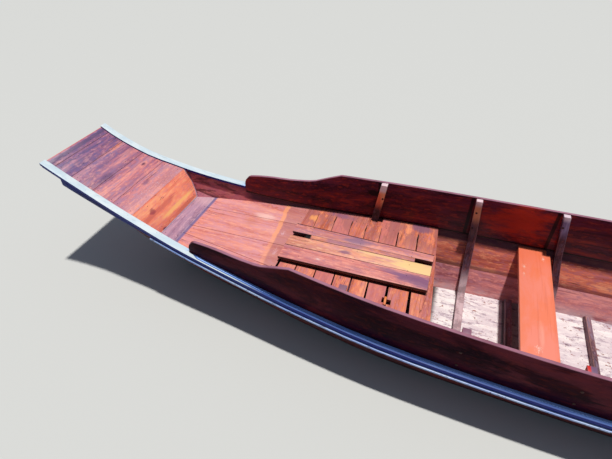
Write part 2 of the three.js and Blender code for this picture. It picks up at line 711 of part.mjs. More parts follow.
// The bearers are nailed under a batten that lies between two of the boards.
const bearers = SEAT_BEARERS.map((x) => {
  const aft = x - SEAT_BEARER.wide / 2;
  const fore = x + SEAT_BEARER.wide / 2;
  const underBoards = BOARD_THICK + CLEAR;
  return profile([
    [aft, floorTop(aft) + CLEAR],
    [fore, floorTop(fore) + CLEAR],
    [fore, seatTop(fore) - underBoards],
    [aft, seatTop(aft) - underBoards],
  ], SEAT_BEARER.low, SEAT_BEARER.high);
});
const battenStrip = profile([
  [SEAT_BATTEN.aft, seatTop(SEAT_BATTEN.aft) - BOARD_THICK - BEAM.lap],
  [SEAT_BATTEN.fore, seatTop(SEAT_BATTEN.fore) - BOARD_THICK - BEAM.lap],
  [SEAT_BATTEN.fore, seatTop(SEAT_BATTEN.fore)],
  [SEAT_BATTEN.aft, seatTop(SEAT_BATTEN.aft)],
], SEAT_BATTEN.low, SEAT_BATTEN.high);
addPiece("seat_bearers", bearers.reduce((joined, bearer) => joined.add(bearer), battenStrip), "grating_wood");

// Stern platform, ramp and deck

const sternTop = () => STERN_FLOOR.top;
const sternFloor = STERN_BEAMS.reduce(
  (joined, x) => joined.add(beamUnder(x, sternTop)),
  slab(STERN_FLOOR.aft - BEAM.wide, STERN_FLOOR.fore, sternTop, BOARD_THICK));
addPiece("stern_floor", sternFloor.intersect(INSIDE), "floor_wood");
addPiece("stern_ramp", ramp(STERN_RAMP.top, STERN_RAMP.foot, STERN_RAMP.thick, STERN_FLOOR.top), "varnish");
addPiece("stern_deck", deck(STERN_TIP, STERN_RAMP.top - CLEAR, STERN_SEAMS), "varnish");

// Motor mount: a wooden block on the deck with a steel socket, and a yoke that turns in it

const BLOCK = { aft: -3690, fore: -3510, half: 95, top: 648 };
const SOCKET = { radius: 32, bore: 17.5, top: 700, flange: 70, flangeThick: 8 };
const YOKE = { half: 62, cheek: 10, aft: -3642, fore: -3558, base: 12, top: 806 };
const SWIVEL_PIN = { radius: 16, low: 652 };
const TILT_PIN = { radius: 9, bore: 9.5, beyond: 10 };

const mountBlock = profile([
  [BLOCK.aft, deckTop(BLOCK.aft) + CLEAR],
  [BLOCK.fore, deckTop(BLOCK.fore) + CLEAR],
  [BLOCK.fore, BLOCK.top],
  [BLOCK.aft, BLOCK.top],
], -BLOCK.half, BLOCK.half);
addPiece("mount_block", mountBlock, "dark_varnish");

const socketLow = BLOCK.top + CLEAR;
const socket = block([PIVOT.x - SOCKET.flange, PIVOT.x + SOCKET.flange], [-SOCKET.flange, SOCKET.flange],
  [socketLow, socketLow + SOCKET.flangeThick])
  .add(bar(at(PIVOT.x, 0, socketLow), at(PIVOT.x, 0, SOCKET.top), SOCKET.radius))
  .subtract(bar(at(PIVOT.x, 0, BLOCK.top), at(PIVOT.x, 0, SOCKET.top + SPARE), SOCKET.bore));
addPiece("mount_socket", socket, "galvanised");

const yokeLow = SOCKET.top + CLEAR;
const yokeCheek = (side) => block([YOKE.aft, YOKE.fore],
  side > 0 ? [YOKE.half - YOKE.cheek, YOKE.half] : [-YOKE.half, YOKE.cheek - YOKE.half],
  [yokeLow, YOKE.top]);
const pinReach = YOKE.half + TILT_PIN.beyond;
const yoke = block([YOKE.aft, YOKE.fore], [-YOKE.half, YOKE.half], [yokeLow, yokeLow + YOKE.base])
  .add(yokeCheek(1))
  .add(yokeCheek(-1))
  .add(bar(at(PIVOT.x, 0, SWIVEL_PIN.low), at(PIVOT.x, 0, yokeLow + YOKE.base / 2), SWIVEL_PIN.radius))
  .add(bar(at(PIVOT.x, -pinReach, PIVOT.z), at(PIVOT.x, pinReach, PIVOT.z), TILT_PIN.radius));
addPiece("swivel_yoke", yoke, "galvanised");

// Motor cradle: two side rails on the tilt pin, a plate for the motor and a collar for the tube

const CRADLE = { half: 45, rail: 12, aft: -3700, fore: -3206, low: 750, high: 776 };
const EAR = { fore: -3540, slope: 30, high: 806 };
const PLATE = { thick: 8, aft: -3470, fore: -3130, half: 110, lap: 0.5 };
const COLLAR = { aft: -3700, fore: -3650, radius: 34, low: 770 };
const TUBE = { radius: 21, bore: 17, aft: -5930 };

const cradleRail = (side) => profile([
  [CRADLE.aft, CRADLE.low],
  [CRADLE.fore, CRADLE.low],
  [CRADLE.fore, CRADLE.high],
  [EAR.fore, CRADLE.high],
  [EAR.fore - EAR.slope, EAR.high],
  [CRADLE.aft, EAR.high],
], ...(side > 0 ? [CRADLE.half - CRADLE.rail, CRADLE.half] : [-CRADLE.half, CRADLE.rail - CRADLE.half]));
const shaftBar = (aft, fore, radius, wider = radius) => bar(
  at(aft, 0, SHAFT_Z), at(fore, 0, SHAFT_Z), radius, wider);
const cradle = cradleRail(1)
  .add(cradleRail(-1))
  .add(block([PLATE.aft, PLATE.fore], [-PLATE.half, PLATE.half],
    [CRADLE.low - PLATE.thick, CRADLE.low + PLATE.lap]))
  .add(block([COLLAR.aft, COLLAR.fore], [-CRADLE.half, CRADLE.half], [COLLAR.low, SHAFT_Z]))
  .add(shaftBar(COLLAR.aft, COLLAR.fore, COLLAR.radius))
  .subtract(shaftBar(COLLAR.aft - SPARE, COLLAR.fore + SPARE, TUBE.radius + 2 * CLEAR))
  .subtract(bar(at(PIVOT.x, -pinReach, PIVOT.z), at(PIVOT.x, pinReach, PIVOT.z), TILT_PIN.bore));
addPiece("motor_cradle", cradle, "steel_paint");

// Motor

const CASE = {
  aft: -3440, fore: -3200, half: 92, low: CRADLE.low + PLATE.lap + CLEAR, waist: CRADLE.high + 3, high: 908,
  round: 26, footHalf: 31, footRound: 8,
};
const crankcase = roundedBar([CASE.aft, CASE.fore], [-CASE.half, CASE.half], [CASE.waist, CASE.high],
  CASE.round)
  .add(roundedBar([CASE.aft, CASE.fore], [-CASE.footHalf, CASE.footHalf], [CASE.low, CASE.high],
    CASE.footRound));
addPiece("crankcase", crankcase, "cast_alloy");

const HOUSING = { aft: -3516, big: 56, small: 30 };
addPiece("drive_housing", bar(at(CASE.aft - CLEAR, 0, SHAFT_Z), at(HOUSING.aft, 0, SHAFT_Z),
  HOUSING.big, HOUSING.small), "cast_alloy");

const RECOIL = { radius: 92, long: 52, rim: 70, z: SHAFT_Z + 16 };
const recoilAft = CASE.fore + CLEAR;
addPiece("recoil_cover", bar(at(recoilAft, 0, RECOIL.z), at(recoilAft + RECOIL.long, 0, RECOIL.z),
  RECOIL.radius, RECOIL.rim), "tank_paint");

// Finned cylinder that leans to starboard
const CYLINDER = {
  x: -3330, y: -34, z: CASE.high - 46, lean: 0.42, core: 44, half: 62, start: 40, fins: 7, pitch: 15,
  fin: 6, firstFin: 54, head: 22,
};
const leaning = new THREE.Matrix4().makeRotationX(CYLINDER.lean)
  .setPosition(CYLINDER.x, CYLINDER.y, CYLINDER.z);
function cylinderLayer(half, low, high) {
  const geometry = new THREE.BoxGeometry(2 * half, 2 * half, high - low);
  geometry.translate(0, 0, (low + high) / 2);
  geometry.applyMatrix4(leaning);
  return solid(geometry);
}
const cylinderTop = CYLINDER.start + CYLINDER.fins * CYLINDER.pitch + CYLINDER.head;
let cylinder = cylinderLayer(CYLINDER.core, CYLINDER.start, cylinderTop);
for (let fin = 0; fin < CYLINDER.fins; fin += 1) {
  const low = CYLINDER.firstFin + fin * CYLINDER.pitch;
  cylinder = cylinder.add(cylinderLayer(CYLINDER.half, low, low + CYLINDER.fin));
}
const caseCut = block([CASE.aft - SPARE, CASE.fore + SPARE], [-2 * CASE.half, 2 * CASE.half],
  [CASE.low, CASE.high + CLEAR]);
addPiece("cylinder", cylinder.subtract(caseCut), "cast_alloy");

// Fuel tank on two strap legs, with a filler cap
const TANK = { aft: -3430, fore: -3190, low: 1052, high: 1158, half: 98, y: 30, round: 30 };
const TANK_CAP = { x: -3290, radius: 27, rise: 20, sink: 2 };
const TANK_LEG = { places: [-3410, -3230], wide: 20, y: [68, 74], sink: 10 };
const tankLegs = TANK_LEG.places.map((x) => block([x, x + TANK_LEG.wide], TANK_LEG.y,
  [CASE.high + CLEAR, TANK.low + TANK_LEG.sink]));
const tank = roundedBar([TANK.aft, TANK.fore], [TANK.y - TANK.half, TANK.y + TANK.half],
  [TANK.low, TANK.high], TANK.round)
  .add(bar(at(TANK_CAP.x, TANK.y, TANK.high - TANK_CAP.sink),
    at(TANK_CAP.x, TANK.y, TANK.high + TANK_CAP.rise), TANK_CAP.radius));
addPiece("fuel_tank", tankLegs.reduce((joined, leg) => joined.add(leg), tank), "tank_paint");

const AIR = { x: [-3400, -3270], y: [96, 168], z: [900, 1010], round: 18 };
const AIR_FOOT = { x: [-3360, -3310], y: [42, 100], z: [CASE.high + CLEAR, 980] };
addPiece("air_cleaner", roundedBar(AIR.x, AIR.y, AIR.z, AIR.round)
  .add(block(AIR_FOOT.x, AIR_FOOT.y, AIR_FOOT.z)), "black_plastic");

const MUFFLER = { aft: -3420, fore: -3240, y: -190, z: 900, radius: 46 };
const EXHAUST_PORT = { x: [-3350, -3310], z: [884, 904] };
const TAILPIPE = { fore: -3200, y: -196, z: 880, radius: 12, sink: 2 };
const muffler = bar(at(MUFFLER.aft, MUFFLER.y, MUFFLER.z), at(MUFFLER.fore, MUFFLER.y, MUFFLER.z),
  MUFFLER.radius)
  .add(block(EXHAUST_PORT.x, [MUFFLER.y, -CASE.half - CLEAR], EXHAUST_PORT.z))
  .add(bar(at(MUFFLER.fore - TAILPIPE.sink, MUFFLER.y, MUFFLER.z),
    at(TAILPIPE.fore, TAILPIPE.y, TAILPIPE.z), TAILPIPE.radius));
addPiece("muffler", muffler, "heat_steel");

// Tail tube, skeg and propeller

const tubeFore = HOUSING.aft - CLEAR;
const tailTube = shaftBar(TUBE.aft, tubeFore, TUBE.radius)
  .subtract(shaftBar(TUBE.aft - SPARE, tubeFore + SPARE, TUBE.bore));
addPiece("tail_tube", tailTube, "galvanised");

const SKEG = { half: 3, top: SHAFT_Z - TUBE.radius - CLEAR, fore: -5500, back: -5926 };
addPiece("skeg", profile([
  [SKEG.fore, SKEG.top],
  [-6000, 650],
  [-6060, 658],
  [-6034, 686],
  [SKEG.back, 698],
  [SKEG.back, SKEG.top],
], -SKEG.half, SKEG.half), "galvanised");

// Propeller of twisted blades. Each row of the table is a blade section, from root to tip.
const PROP = { radius: 112, blades: 3, pitch: 190, thick: 5, rootThick: 1.4 };
const HUB = { radius: 24, fore: -5942, aft: -6040, nose: -6068, noseRadius: 9, neck: 19, neckLap: 5 };
const BLADE_ROWS = [
  { radius: 16, chord: 44 },
  { radius: 44, chord: 66 },
  { radius: 74, chord: 74 },
  { radius: 98, chord: 56 },
  { radius: 112, chord: 22 },
];
function bladeSection(row) {
  const twist = Math.atan2(PROP.pitch, 2 * Math.PI * row.radius);
  const half = PROP.thick * (PROP.rootThick - row.radius / PROP.radius) / 2;
  const corners = [[-row.chord / 2, 0], [0, -half], [row.chord / 2, 0], [0, half]];
  return corners.map(([u, v]) => new THREE.Vector2(u, v).rotateAround(new THREE.Vector2(), twist));
}
function blade(turn) {
  const rings = BLADE_ROWS.map((row) => bladeSection(row).map((corner) => at(corner.y, corner.x, row.radius)
    .applyAxisAngle(at(1, 0, 0), turn)
    .add(at(PROP_X, 0, SHAFT_Z))));
  return loft(rings, bladeSection(BLADE_ROWS[0]));
}
let propeller = shaftBar(HUB.fore, HUB.aft, HUB.radius)
  .add(shaftBar(HUB.aft, HUB.nose, HUB.radius, HUB.noseRadius))
  .add(shaftBar(TUBE.aft - CLEAR, HUB.fore - HUB.neckLap, HUB.neck));
for (let index = 0; index < PROP.blades; index += 1) {
  propeller = propeller.add(blade((index * 2 * Math.PI) / PROP.blades));
}
addPiece("propeller", propeller, "bronze");

// Tiller: a bent tube from under the cradle's plate, with a grip at its end

const TILLER = { radius: 14, sides: 12, stepsPerPoint: 3 };
const TILLER_Z = CRADLE.low - PLATE.thick - TILLER.radius - 0.5;
const TILLER_PATH = [
  { x: -3460, y: 78, z: TILLER_Z },
  { x: -3230, y: 78, z: TILLER_Z },
  { x: -3100, y: 78, z: TILLER_Z },
  { x: -2970, y: 78, z: TILLER_Z + 30 },
  { x: -2700, y: 70, z: 880 },
  { x: -2240, y: 68, z: 1010 },
];
const GRIP = { radius: 17, long: 130 };

function rod(points, radius, sides, steps) {
  const outline = new THREE.Shape();
  outline.absarc(0, 0, radius, 0, Math.PI * 2);
  const corners = outline.getSpacedPoints(sides).slice(0, sides);
  const path = new THREE.CatmullRomCurve3(points, false, "centripetal");
  return solid(new THREE.ExtrudeGeometry(new THREE.Shape(corners), {
    steps,
    bevelEnabled: false,
    extrudePath: path,
  }));
}

const tillerPoints = TILLER_PATH.map(({ x, y, z }) => at(x, y, z));
const [beforeEnd, tillerEnd] = tillerPoints.slice(-2);
addPiece("tiller", rod(tillerPoints, TILLER.radius, TILLER.sides,
  TILLER.stepsPerPoint * tillerPoints.length), "steel_paint");
const gripWay = tillerEnd.clone().sub(beforeEnd).normalize();
const gripStart = tillerEnd.clone().addScaledVector(gripWay, CLEAR);
addPiece("tiller_grip", bar(gripStart, gripStart.clone().addScaledVector(gripWay, GRIP.long), GRIP.radius),
  "rubber_grip");

export default boat;
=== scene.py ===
# %% [markdown]
# # A wooden longtail boat
# A low planked river boat with raised washboards, a decked bow and stern, seats across it and
# a motor on a swivel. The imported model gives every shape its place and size. This lesson gives
# the boat its looks: rounded and split boards, old varnish and paint, nails and motor fittings.
# Everything is in metres: +X to the bow, +Y to port, +Z up, with the waterline at zero.

import json
import math

import bmesh
import bpy
from mathutils import Matrix, Vector
from mathutils.bvhtree import BVHTree

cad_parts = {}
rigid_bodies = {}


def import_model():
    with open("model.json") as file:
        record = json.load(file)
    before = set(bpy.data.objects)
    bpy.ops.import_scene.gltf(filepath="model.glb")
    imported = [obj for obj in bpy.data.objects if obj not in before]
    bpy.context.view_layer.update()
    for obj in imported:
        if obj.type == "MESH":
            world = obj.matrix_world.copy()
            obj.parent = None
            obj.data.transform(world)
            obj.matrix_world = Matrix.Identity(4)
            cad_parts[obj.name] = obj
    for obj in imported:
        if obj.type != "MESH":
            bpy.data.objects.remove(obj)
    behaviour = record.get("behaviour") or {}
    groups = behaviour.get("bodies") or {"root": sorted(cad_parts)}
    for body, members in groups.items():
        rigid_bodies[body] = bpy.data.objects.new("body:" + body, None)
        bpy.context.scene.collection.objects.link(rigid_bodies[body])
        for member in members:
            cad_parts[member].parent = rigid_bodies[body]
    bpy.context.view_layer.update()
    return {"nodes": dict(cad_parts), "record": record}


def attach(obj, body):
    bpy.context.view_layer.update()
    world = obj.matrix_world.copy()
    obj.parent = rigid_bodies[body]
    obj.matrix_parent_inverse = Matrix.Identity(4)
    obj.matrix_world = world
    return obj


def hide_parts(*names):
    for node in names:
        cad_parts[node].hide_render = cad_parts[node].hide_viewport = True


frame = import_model()
nodes = frame["nodes"]
UP = Vector((0, 0, 1))

# %% [markdown]
# ## Camera
# The view looks down over the port side of the bow. The lens is a normal one, and the camera's
# place and turn come from the boat's own edges: its waterline, its deck and its seats.

# %% Camera
EYE = Vector((1.1581, 2.2861, 2.5098))
LOOK = Vector((0.2671, -0.7322, -0.6265))
RIGHT = Vector((-0.9394, -0.3427, 0.0))

camera_data = bpy.data.cameras.new("camera")
camera_data.lens = 25.93
camera_data.sensor_width = 36
camera_data.clip_end = 200
camera = bpy.data.objects.new("camera", camera_data)
bpy.context.scene.collection.objects.link(camera)
look = LOOK.normalized()
right = (RIGHT - look * RIGHT.dot(look)).normalized()
up = right.cross(look)
camera.matrix_world = Matrix((
    (right.x, up.x, -look.x, EYE.x),
    (right.y, up.y, -look.y, EYE.y),
    (right.z, up.z, -look.z, EYE.z),
    (0, 0, 0, 1),
))
bpy.context.scene.camera = camera
print("camera at", [round(value, 3) for value in camera.location])

# %% [markdown]
# ## Small helpers for materials
# A finish is a chain of shader nodes. These helpers add one node each and join it to the nodes
# before it, so that a finish reads like a recipe: a first colour, and tints laid over it. Colours
# are written as on a paint chart and turned into the linear values that the shader works with.

# %% Helpers for shader nodes
CHART_WHITE = 0.8      # how much light the chart's white gives back


def paint_chart(code):
    channels = [int(code[place:place + 2], 16) / 255 for place in (1, 3, 5)]
    linear = [((c + 0.055) / 1.055) ** 2.4 if c > 0.04045 else c / 12.92 for c in channels]
    return (*[c * CHART_WHITE for c in linear], 1)


class Recipe:
    """A material under construction, with the colour that its layers give so far."""

    def __init__(self, name):
        self.material = bpy.data.materials.new(name)
        self.material.use_nodes = True
        self.tree = self.material.node_tree
        self.tree.nodes.clear()
        coordinates = self.tree.nodes.new("ShaderNodeTexCoord")
        self.place, facing = coordinates.outputs["Object"], coordinates.outputs["Normal"]
        self.x, self.y, self.z = [self.add("SeparateXYZ", {0: self.place}, name) for name in "XYZ"]
        self.sideways, self.upward = [self.add("SeparateXYZ", {0: facing}, name) for name in "YZ"]

    def add(self, kind, inputs, output=0, **settings):
        made = self.tree.nodes.new("ShaderNode" + kind)
        for name, value in settings.items():
            setattr(made, name, value)
        for name, value in inputs.items():
            socket = made.inputs[name]
            if isinstance(value, bpy.types.NodeSocket):
                self.tree.links.new(value, socket)
            else:
                socket.default_value = value
        return made.outputs[output]

    def math(self, operation, a, b=0.0):
        return self.add("Math", {0: a, 1: b}, operation=operation)

    def times(self, value, *others):
        for other in others:
            value = self.math("MULTIPLY", value, other)
        return value

    def plus(self, a, b):
        return self.math("ADD", a, b)

    def minus(self, a, b):
        return self.math("SUBTRACT", a, b)

    def wander(self, value, noise, reach):
        """A value that a noise pushes to and fro, so that a border isn't a ruled line."""
        return self.plus(value, self.times(self.minus(noise, 0.5), reach))

    def level(self, value, low, high, start=0.0, end=1.0, soft=True):
        kind = "SMOOTHSTEP" if soft else "LINEAR"
        return self.add("MapRange", {"Value": value, "From Min": low, "From Max": high,
                                     "To Min": start, "To Max": end}, interpolation_type=kind)

    def between(self, value, low, full, fade, high):
        """Zero below low and above high, one from full to fade."""
        return self.times(self.level(value, low, full), self.level(value, high, fade))

    def blend(self, a, b, mask, low=None, high=None, share=1.0, way="MIX"):
        """Colour a turns to b by a mask, or by a share as a value goes from low to high."""
        if low is not None:
            mask = self.level(mask, low, high, 0.0, share)
        a, b = [paint_chart(c) if isinstance(c, str) else c for c in (a, b)]
        return self.add("Mix", {0: mask, 6: a, 7: b}, output=2, data_type="RGBA", blend_type=way)

    def lay(self, tint, *mask, way="MIX"):
        """Lays a tint over the colour so far."""
        self.color = self.blend(self.color, tint, *mask, way=way)

    def stretch(self, scale, shift=(0, 0, 0), turn=(0, 0, 0), source=None):
        return self.add("Mapping", {"Vector": source or self.place, "Location": shift,
                                    "Rotation": turn, "Scale": scale})

    def noise(self, place, scale, detail=3.0, rough=0.5, warp=0.0):
        return self.add("TexNoise", {"Vector": place, "Scale": scale, "Detail": detail,
                                     "Roughness": rough, "Distortion": warp})

    def far_from(self, centre, size):
        """How far a point lies from the centre of an egg-shaped mark, where 1 is its edge."""
        local = self.add("Mapping", {"Vector": self.place, "Location": centre, "Scale": size},
                         vector_type="TEXTURE")
        return self.add("VectorMath", {0: local}, output="Value", operation="LENGTH")

    def mark(self, name):
        """A number that a mesh keeps for each face or corner, such as its plank or worn edge."""
        return self.add("Attribute", {}, output="Fac", attribute_name=name)

    def surface(self, rough, bump=None, height=0.001, strength=0.6, metal=0.0, coat=0.0,
                coat_rough=0.15, specular=0.5):
        color = paint_chart(self.color) if isinstance(self.color, str) else self.color
        inputs = {"Base Color": color, "Roughness": rough, "Metallic": metal, "Coat Weight": coat,
                  "Coat Roughness": coat_rough, "Specular IOR Level": specular}
        if bump is not None:
            inputs["Normal"] = self.add("Bump", {"Strength": strength, "Distance": height,
                                                 "Height": bump})
        shader = self.add("BsdfPrincipled", inputs)
        output = self.tree.nodes.new("ShaderNodeOutputMaterial")
        self.tree.links.new(shader, output.inputs["Surface"])
        return self.material


print("a paint chart's mid grey is", round(paint_chart("#808080")[0], 3), "in linear light")

# %% [markdown]
# ## Old wood
# A board shows growth rings as long slow bands, fine dark pores along the grain, a few cracks,
# and patches where sun and use have taken the varnish off. All four are noise, stretched along
# the board. Each plank moves the noise by its own number, so that no figure runs over a seam.

# %% The figure of a board and what lies over it
ALONG = {"X": (0.09, 1.0, 1.0), "Y": (1.0, 0.09, 1.0), "Z": (1.0, 1.0, 0.12)}
FINE = {"X": (0.03, 1.0, 1.0), "Y": (1.0, 0.03, 1.0), "Z": (1.0, 1.0, 0.04)}
BROAD = {"X": (0.35, 1.0, 1.0), "Y": (1.0, 0.35, 1.0), "Z": (1.0, 1.0, 0.4)}
STRIDES = {"X": 3.71, "Y": 1.93, "Z": 2.57}      # how far each plank's number moves its figure


class Wood(Recipe):
    """A board's finish: the masks of its grain, and the layers over it."""

    def __init__(self, name, run, seed=0.0, bend=0.0):
        super().__init__(name)
        self.plank, self.worn = self.mark("plank"), self.mark("worn")
        step = self.add("CombineXYZ", {axis: self.times(self.plank, stride)
                                       for axis, stride in STRIDES.items()})
        moved = self.add("VectorMath", {0: self.place, 1: step}, operation="ADD")

        def way(scales, shift=(seed, seed * 0.7, seed * 1.3)):
            return self.stretch(scales[run], shift, (0, 0, bend), moved)

        long_way, fine_way, broad_way = way(ALONG), way(FINE), way(BROAD)
        self.streak = self.noise(long_way, 13.0, 7.0, 0.66, 0.25)
        swirl = self.noise(long_way, 5.0, 2.0, 0.5, 0.6)
        self.rings = self.math("PINGPONG", self.times(swirl, 15.0), 1.0)
        self.pores = self.noise(fine_way, 210.0, 4.0, 0.7)
        self.fibres = self.noise(fine_way, 62.0, 3.0, 0.6)
        self.patch = self.noise(broad_way, 9.0, 7.0, 0.68, 0.3)
        self.fleck = self.noise(broad_way, 52.0, 4.0, 0.62)
        line = self.noise(way(FINE, (seed + 4, 1, 2)), 24.0, 2.0)
        crack = self.level(self.math("ABSOLUTE", self.minus(line, 0.5)), 0.0, 0.007, 1.0, 0.0)
        self.crack = self.times(crack, self.level(self.noise(moved, 3.1, 2.0), 0.48, 0.6))

    def timber(self, dark, heart, pale, weather, weathered=0.5, low=0.46):
        """A varnished board's colour, from its dark to its pale streaks, with worn patches."""
        self.color = dark
        self.lay(heart, self.streak, 0.36, 0.54)
        self.lay(pale, self.streak, 0.52, 0.66, 0.9)
        self.bare = self.times(self.level(self.patch, low, low + 0.14, 0.0, weathered),
                               self.level(self.fibres, 0.3, 0.6, 0.35, 1.0))
        self.lay(weather, self.bare)
        self.lay(dark, self.rings, 0.6, 1.0, 0.28)
        self.lay(weather, self.fleck, 0.51, 0.61, 0.6)
        self.lay(pale, self.fleck, 0.47, 0.37, 0.55)
        self.lay(dark, self.fibres, 0.46, 0.32, 0.6)
        self.lay(dark, self.pores, 0.46, 0.34, 0.4)
        self.lay("#2c1214", self.times(self.crack, 0.8))

    def stains(self, *rows):
        """Marks at known places. Each row: centre, half sizes, colour, strength.

        The grain frays every mark that is weaker than 1."""
        fray = self.plus(self.times(self.streak, 2.6), self.times(self.patch, 3.4))
        fray = self.minus(fray, 2.95)
        for centre, size, tint, strength in rows:
            far = self.far_from(centre, size)
            if strength < 1:
                self.lay(tint, self.level(self.plus(far, fray), 0.45, 1.35, strength, 0.0))
            else:
                self.lay(tint, self.level(far, 0.85, 1.0, strength, 0.0))

    def scuffs(self, tint, share, *rows):
        """Clusters of small scratches. Each row: centre and half sizes."""
        fine = self.noise(self.stretch((1.0, 0.5, 1.0)), 150.0, 4.0, 0.7)
        for centre, size in rows:
            far = self.far_from(centre, size)
            near = self.plus(fine, self.level(far, 0.0, 1.5, 0.12, -0.25, soft=False))
            self.lay(tint, near, 0.52, 0.60, share)

    def rub(self, tint, share):
        """Lightens the softened edges where use wears them."""
        worn_off = self.level(self.patch, 0.3, 0.55, 0.3 * share, share)
        self.lay(tint, self.times(self.worn, worn_off))

    def varnish(self, gloss=0.3, matt=0.62, height=0.001, specular=0.4):
        rough = self.plus(self.level(self.bare, 0.0, 0.5, gloss, matt),
                          self.times(self.fibres, 0.15))
        relief = self.plus(self.times(self.pores, 0.35), self.times(self.fibres, 0.35))
        relief = self.plus(relief, self.times(self.rings, 0.2))
        relief = self.minus(relief, self.times(self.crack, 1.2))
        return self.surface(rough, relief, height, 0.8, coat_rough=0.2, specular=specular)


print("grain runs along", ", ".join(ALONG))

# %% [markdown]
# ### The bow deck
# The deck is five planks across the boat, of red-brown wood whose purple and mauve tints are
# painted sheen of the sky on its varnish. The plank at the tip is the greyest, with a bare pink
# lip. Knots and bright streaks sit where they are on the real deck, each a frayed egg-shaped mask
# on the object's own coordinates.

# %% Deck finish
def make_deck_wood():
    wood = Wood("deck varnish", "Y", 1.0, 0.02)
    x = wood.wander(wood.x, wood.patch, 0.10)
    # The purple and mauve tones are painted sheen of the sky on the varnish.
    wood.timber("#684c74", "#a86c8c", "#d498a4", "#6c5c94", 0.7)
    tip = wood.color
    wood.timber("#a45c74", "#e08a8c", "#ffa890", "#a880a0", 0.75, low=0.47)
    wood.lay(tip, x, 3.42, 3.80)
    wood.lay("#604c74", wood.times(wood.between(wood.x, 3.852, 3.866, 3.882, 3.888), 0.8))
    wood.lay("#d86c64", wood.x, 3.893, 3.896, 0.9)
    wood.lay("#f4a8a0", x, 3.34, 3.24, 0.4)
    wood.stains(
        ((3.704, -0.16, 0.79), (0.016, 0.17, 0.3), "#f8946c", 0.85),
        ((3.60, -0.10, 0.74), (0.02, 0.20, 0.3), "#f49c94", 0.6),
        ((3.465, -0.195, 0.69), (0.016, 0.026, 0.2), "#5c2c48", 0.9),
        ((3.56, 0.12, 0.72), (0.035, 0.07, 0.2), "#6c4a74", 0.75),
        ((3.40, 0.05, 0.66), (0.015, 0.16, 0.2), "#8a5a80", 0.6),
        ((3.33, -0.02, 0.65), (0.02, 0.05, 0.2), "#7a4a70", 0.6),
        ((3.225, 0.24, 0.62), (0.02, 0.07, 0.2), "#ff9c74", 0.7))
    speck = wood.level(wood.noise(wood.place, 120.0, 3.0, 0.6), 0.60, 0.66)
    wood.lay("#ecd4e0", wood.times(speck, wood.level(x, 3.42, 3.24, 0.0, 0.55)))
    wood.rub("#e8a8a4", 0.5)
    return wood.varnish(0.42, 0.66)


deck_wood = make_deck_wood()
print("made", deck_wood.name)

# %% [markdown]
# ### Other boards of the bow
# The ramp is the freshest wood, orange with dark streaks. The plank at its foot is bare and
# grey. The floor is pinkish, with a bleached patch and a bright worn one at its aft end.

# %% Ramp, foot plank and floor finishes
def make_ramp_wood():
    wood = Wood("ramp varnish", "Y", 2.3)
    wood.timber("#d86850", "#fc9068", "#ffb07c", "#dc8478", 0.4, low=0.5)
    wood.stains(
        ((3.118, -0.09, 0.45), (0.011, 0.32, 0.03), "#ffc070", 0.8),
        ((3.145, 0.08, 0.51), (0.02, 0.26, 0.02), "#d06854", 0.7),
        ((3.095, -0.20, 0.40), (0.012, 0.20, 0.02), "#d06a50", 0.7),
        ((3.203, 0.261, 0.61), (0.012, 0.018, 0.02), "#5c2438", 0.9),
        ((3.165, 0.169, 0.54), (0.014, 0.026, 0.03), "#9a4448", 0.8),
        ((3.084, 0.171, 0.385), (0.014, 0.022, 0.02), "#642c44", 0.9))
    wood.lay((1.46, 1.58, 1.8, 1), 1.0, way="MULTIPLY")
    wood.rub("#e8b4b0", 0.6)
    return wood.varnish(0.4, 0.6)


def make_foot_wood():
    wood = Wood("foot plank, bare", "Y", 3.9)
    wood.timber("#8c6884", "#b488a0", "#dcb0bc", "#bc98b0", 0.6, low=0.42)
    wood.lay("#dcb4bc", wood.y, -0.16, -0.30, 0.6)
    wood.rub("#c8b4c8", 0.7)
    return wood.varnish(0.55, 0.75)


def make_floor_wood():
    wood = Wood("floor varnish", "X", 5.2, -0.06)
    wood.timber("#d0746c", "#f49c8c", "#ffb49c", "#e09ca8", 0.65, low=0.45)
    wood.stains(((2.41, -0.28, 0.36), (0.10, 0.045, 0.1), "#ffd0c4", 0.7),
                ((2.52, -0.15, 0.37), (0.10, 0.05, 0.1), "#d4806c", 0.5))
    bent = wood.wander(wood.plus(wood.x, wood.times(wood.y, 0.10)), wood.patch, 0.05)
    wood.lay("#b8706c", bent, 2.262, 2.250, 0.6)
    stripe = wood.between(bent, 2.246, 2.254, 2.278, 2.290)
    wood.lay("#ffa878", wood.times(stripe, wood.level(wood.y, -0.15, 0.15, 0.8, 0.3)))
    wood.scuffs("#e8b8c0", 0.7, ((2.225, -0.12, 0.36), (0.03, 0.06, 0.1)),
                ((2.20, 0.10, 0.36), (0.03, 0.08, 0.1)))
    wood.lay("#746c9c", wood.x, 2.908, 2.920, 0.9)
    return wood.varnish(0.42, 0.6)


ramp_wood, foot_wood, floor_wood = make_ramp_wood(), make_foot_wood(), make_floor_wood()
print("made", ramp_wood.name, foot_wood.name, floor_wood.name, sep="; ")

# %% [markdown]
# ### Grating and bench
# Slats and bench boards are odd pieces of wood, so each slat takes its own tone from its number.
# The bench's middle board is the palest, and the other two are worn pink and purple. The slats
# under the bench are painted dark as its shade, and its boards' upright faces are painted dark
# as shade too. Black marks painted in the gaps' starboard ends, along the grating's fore edge and
# on the bearers' fore end stand for the shade in those openings.

# %% Slat and bench finishes
BENCH_MIDDLE = 1.62      # the middle of the bench along the boat


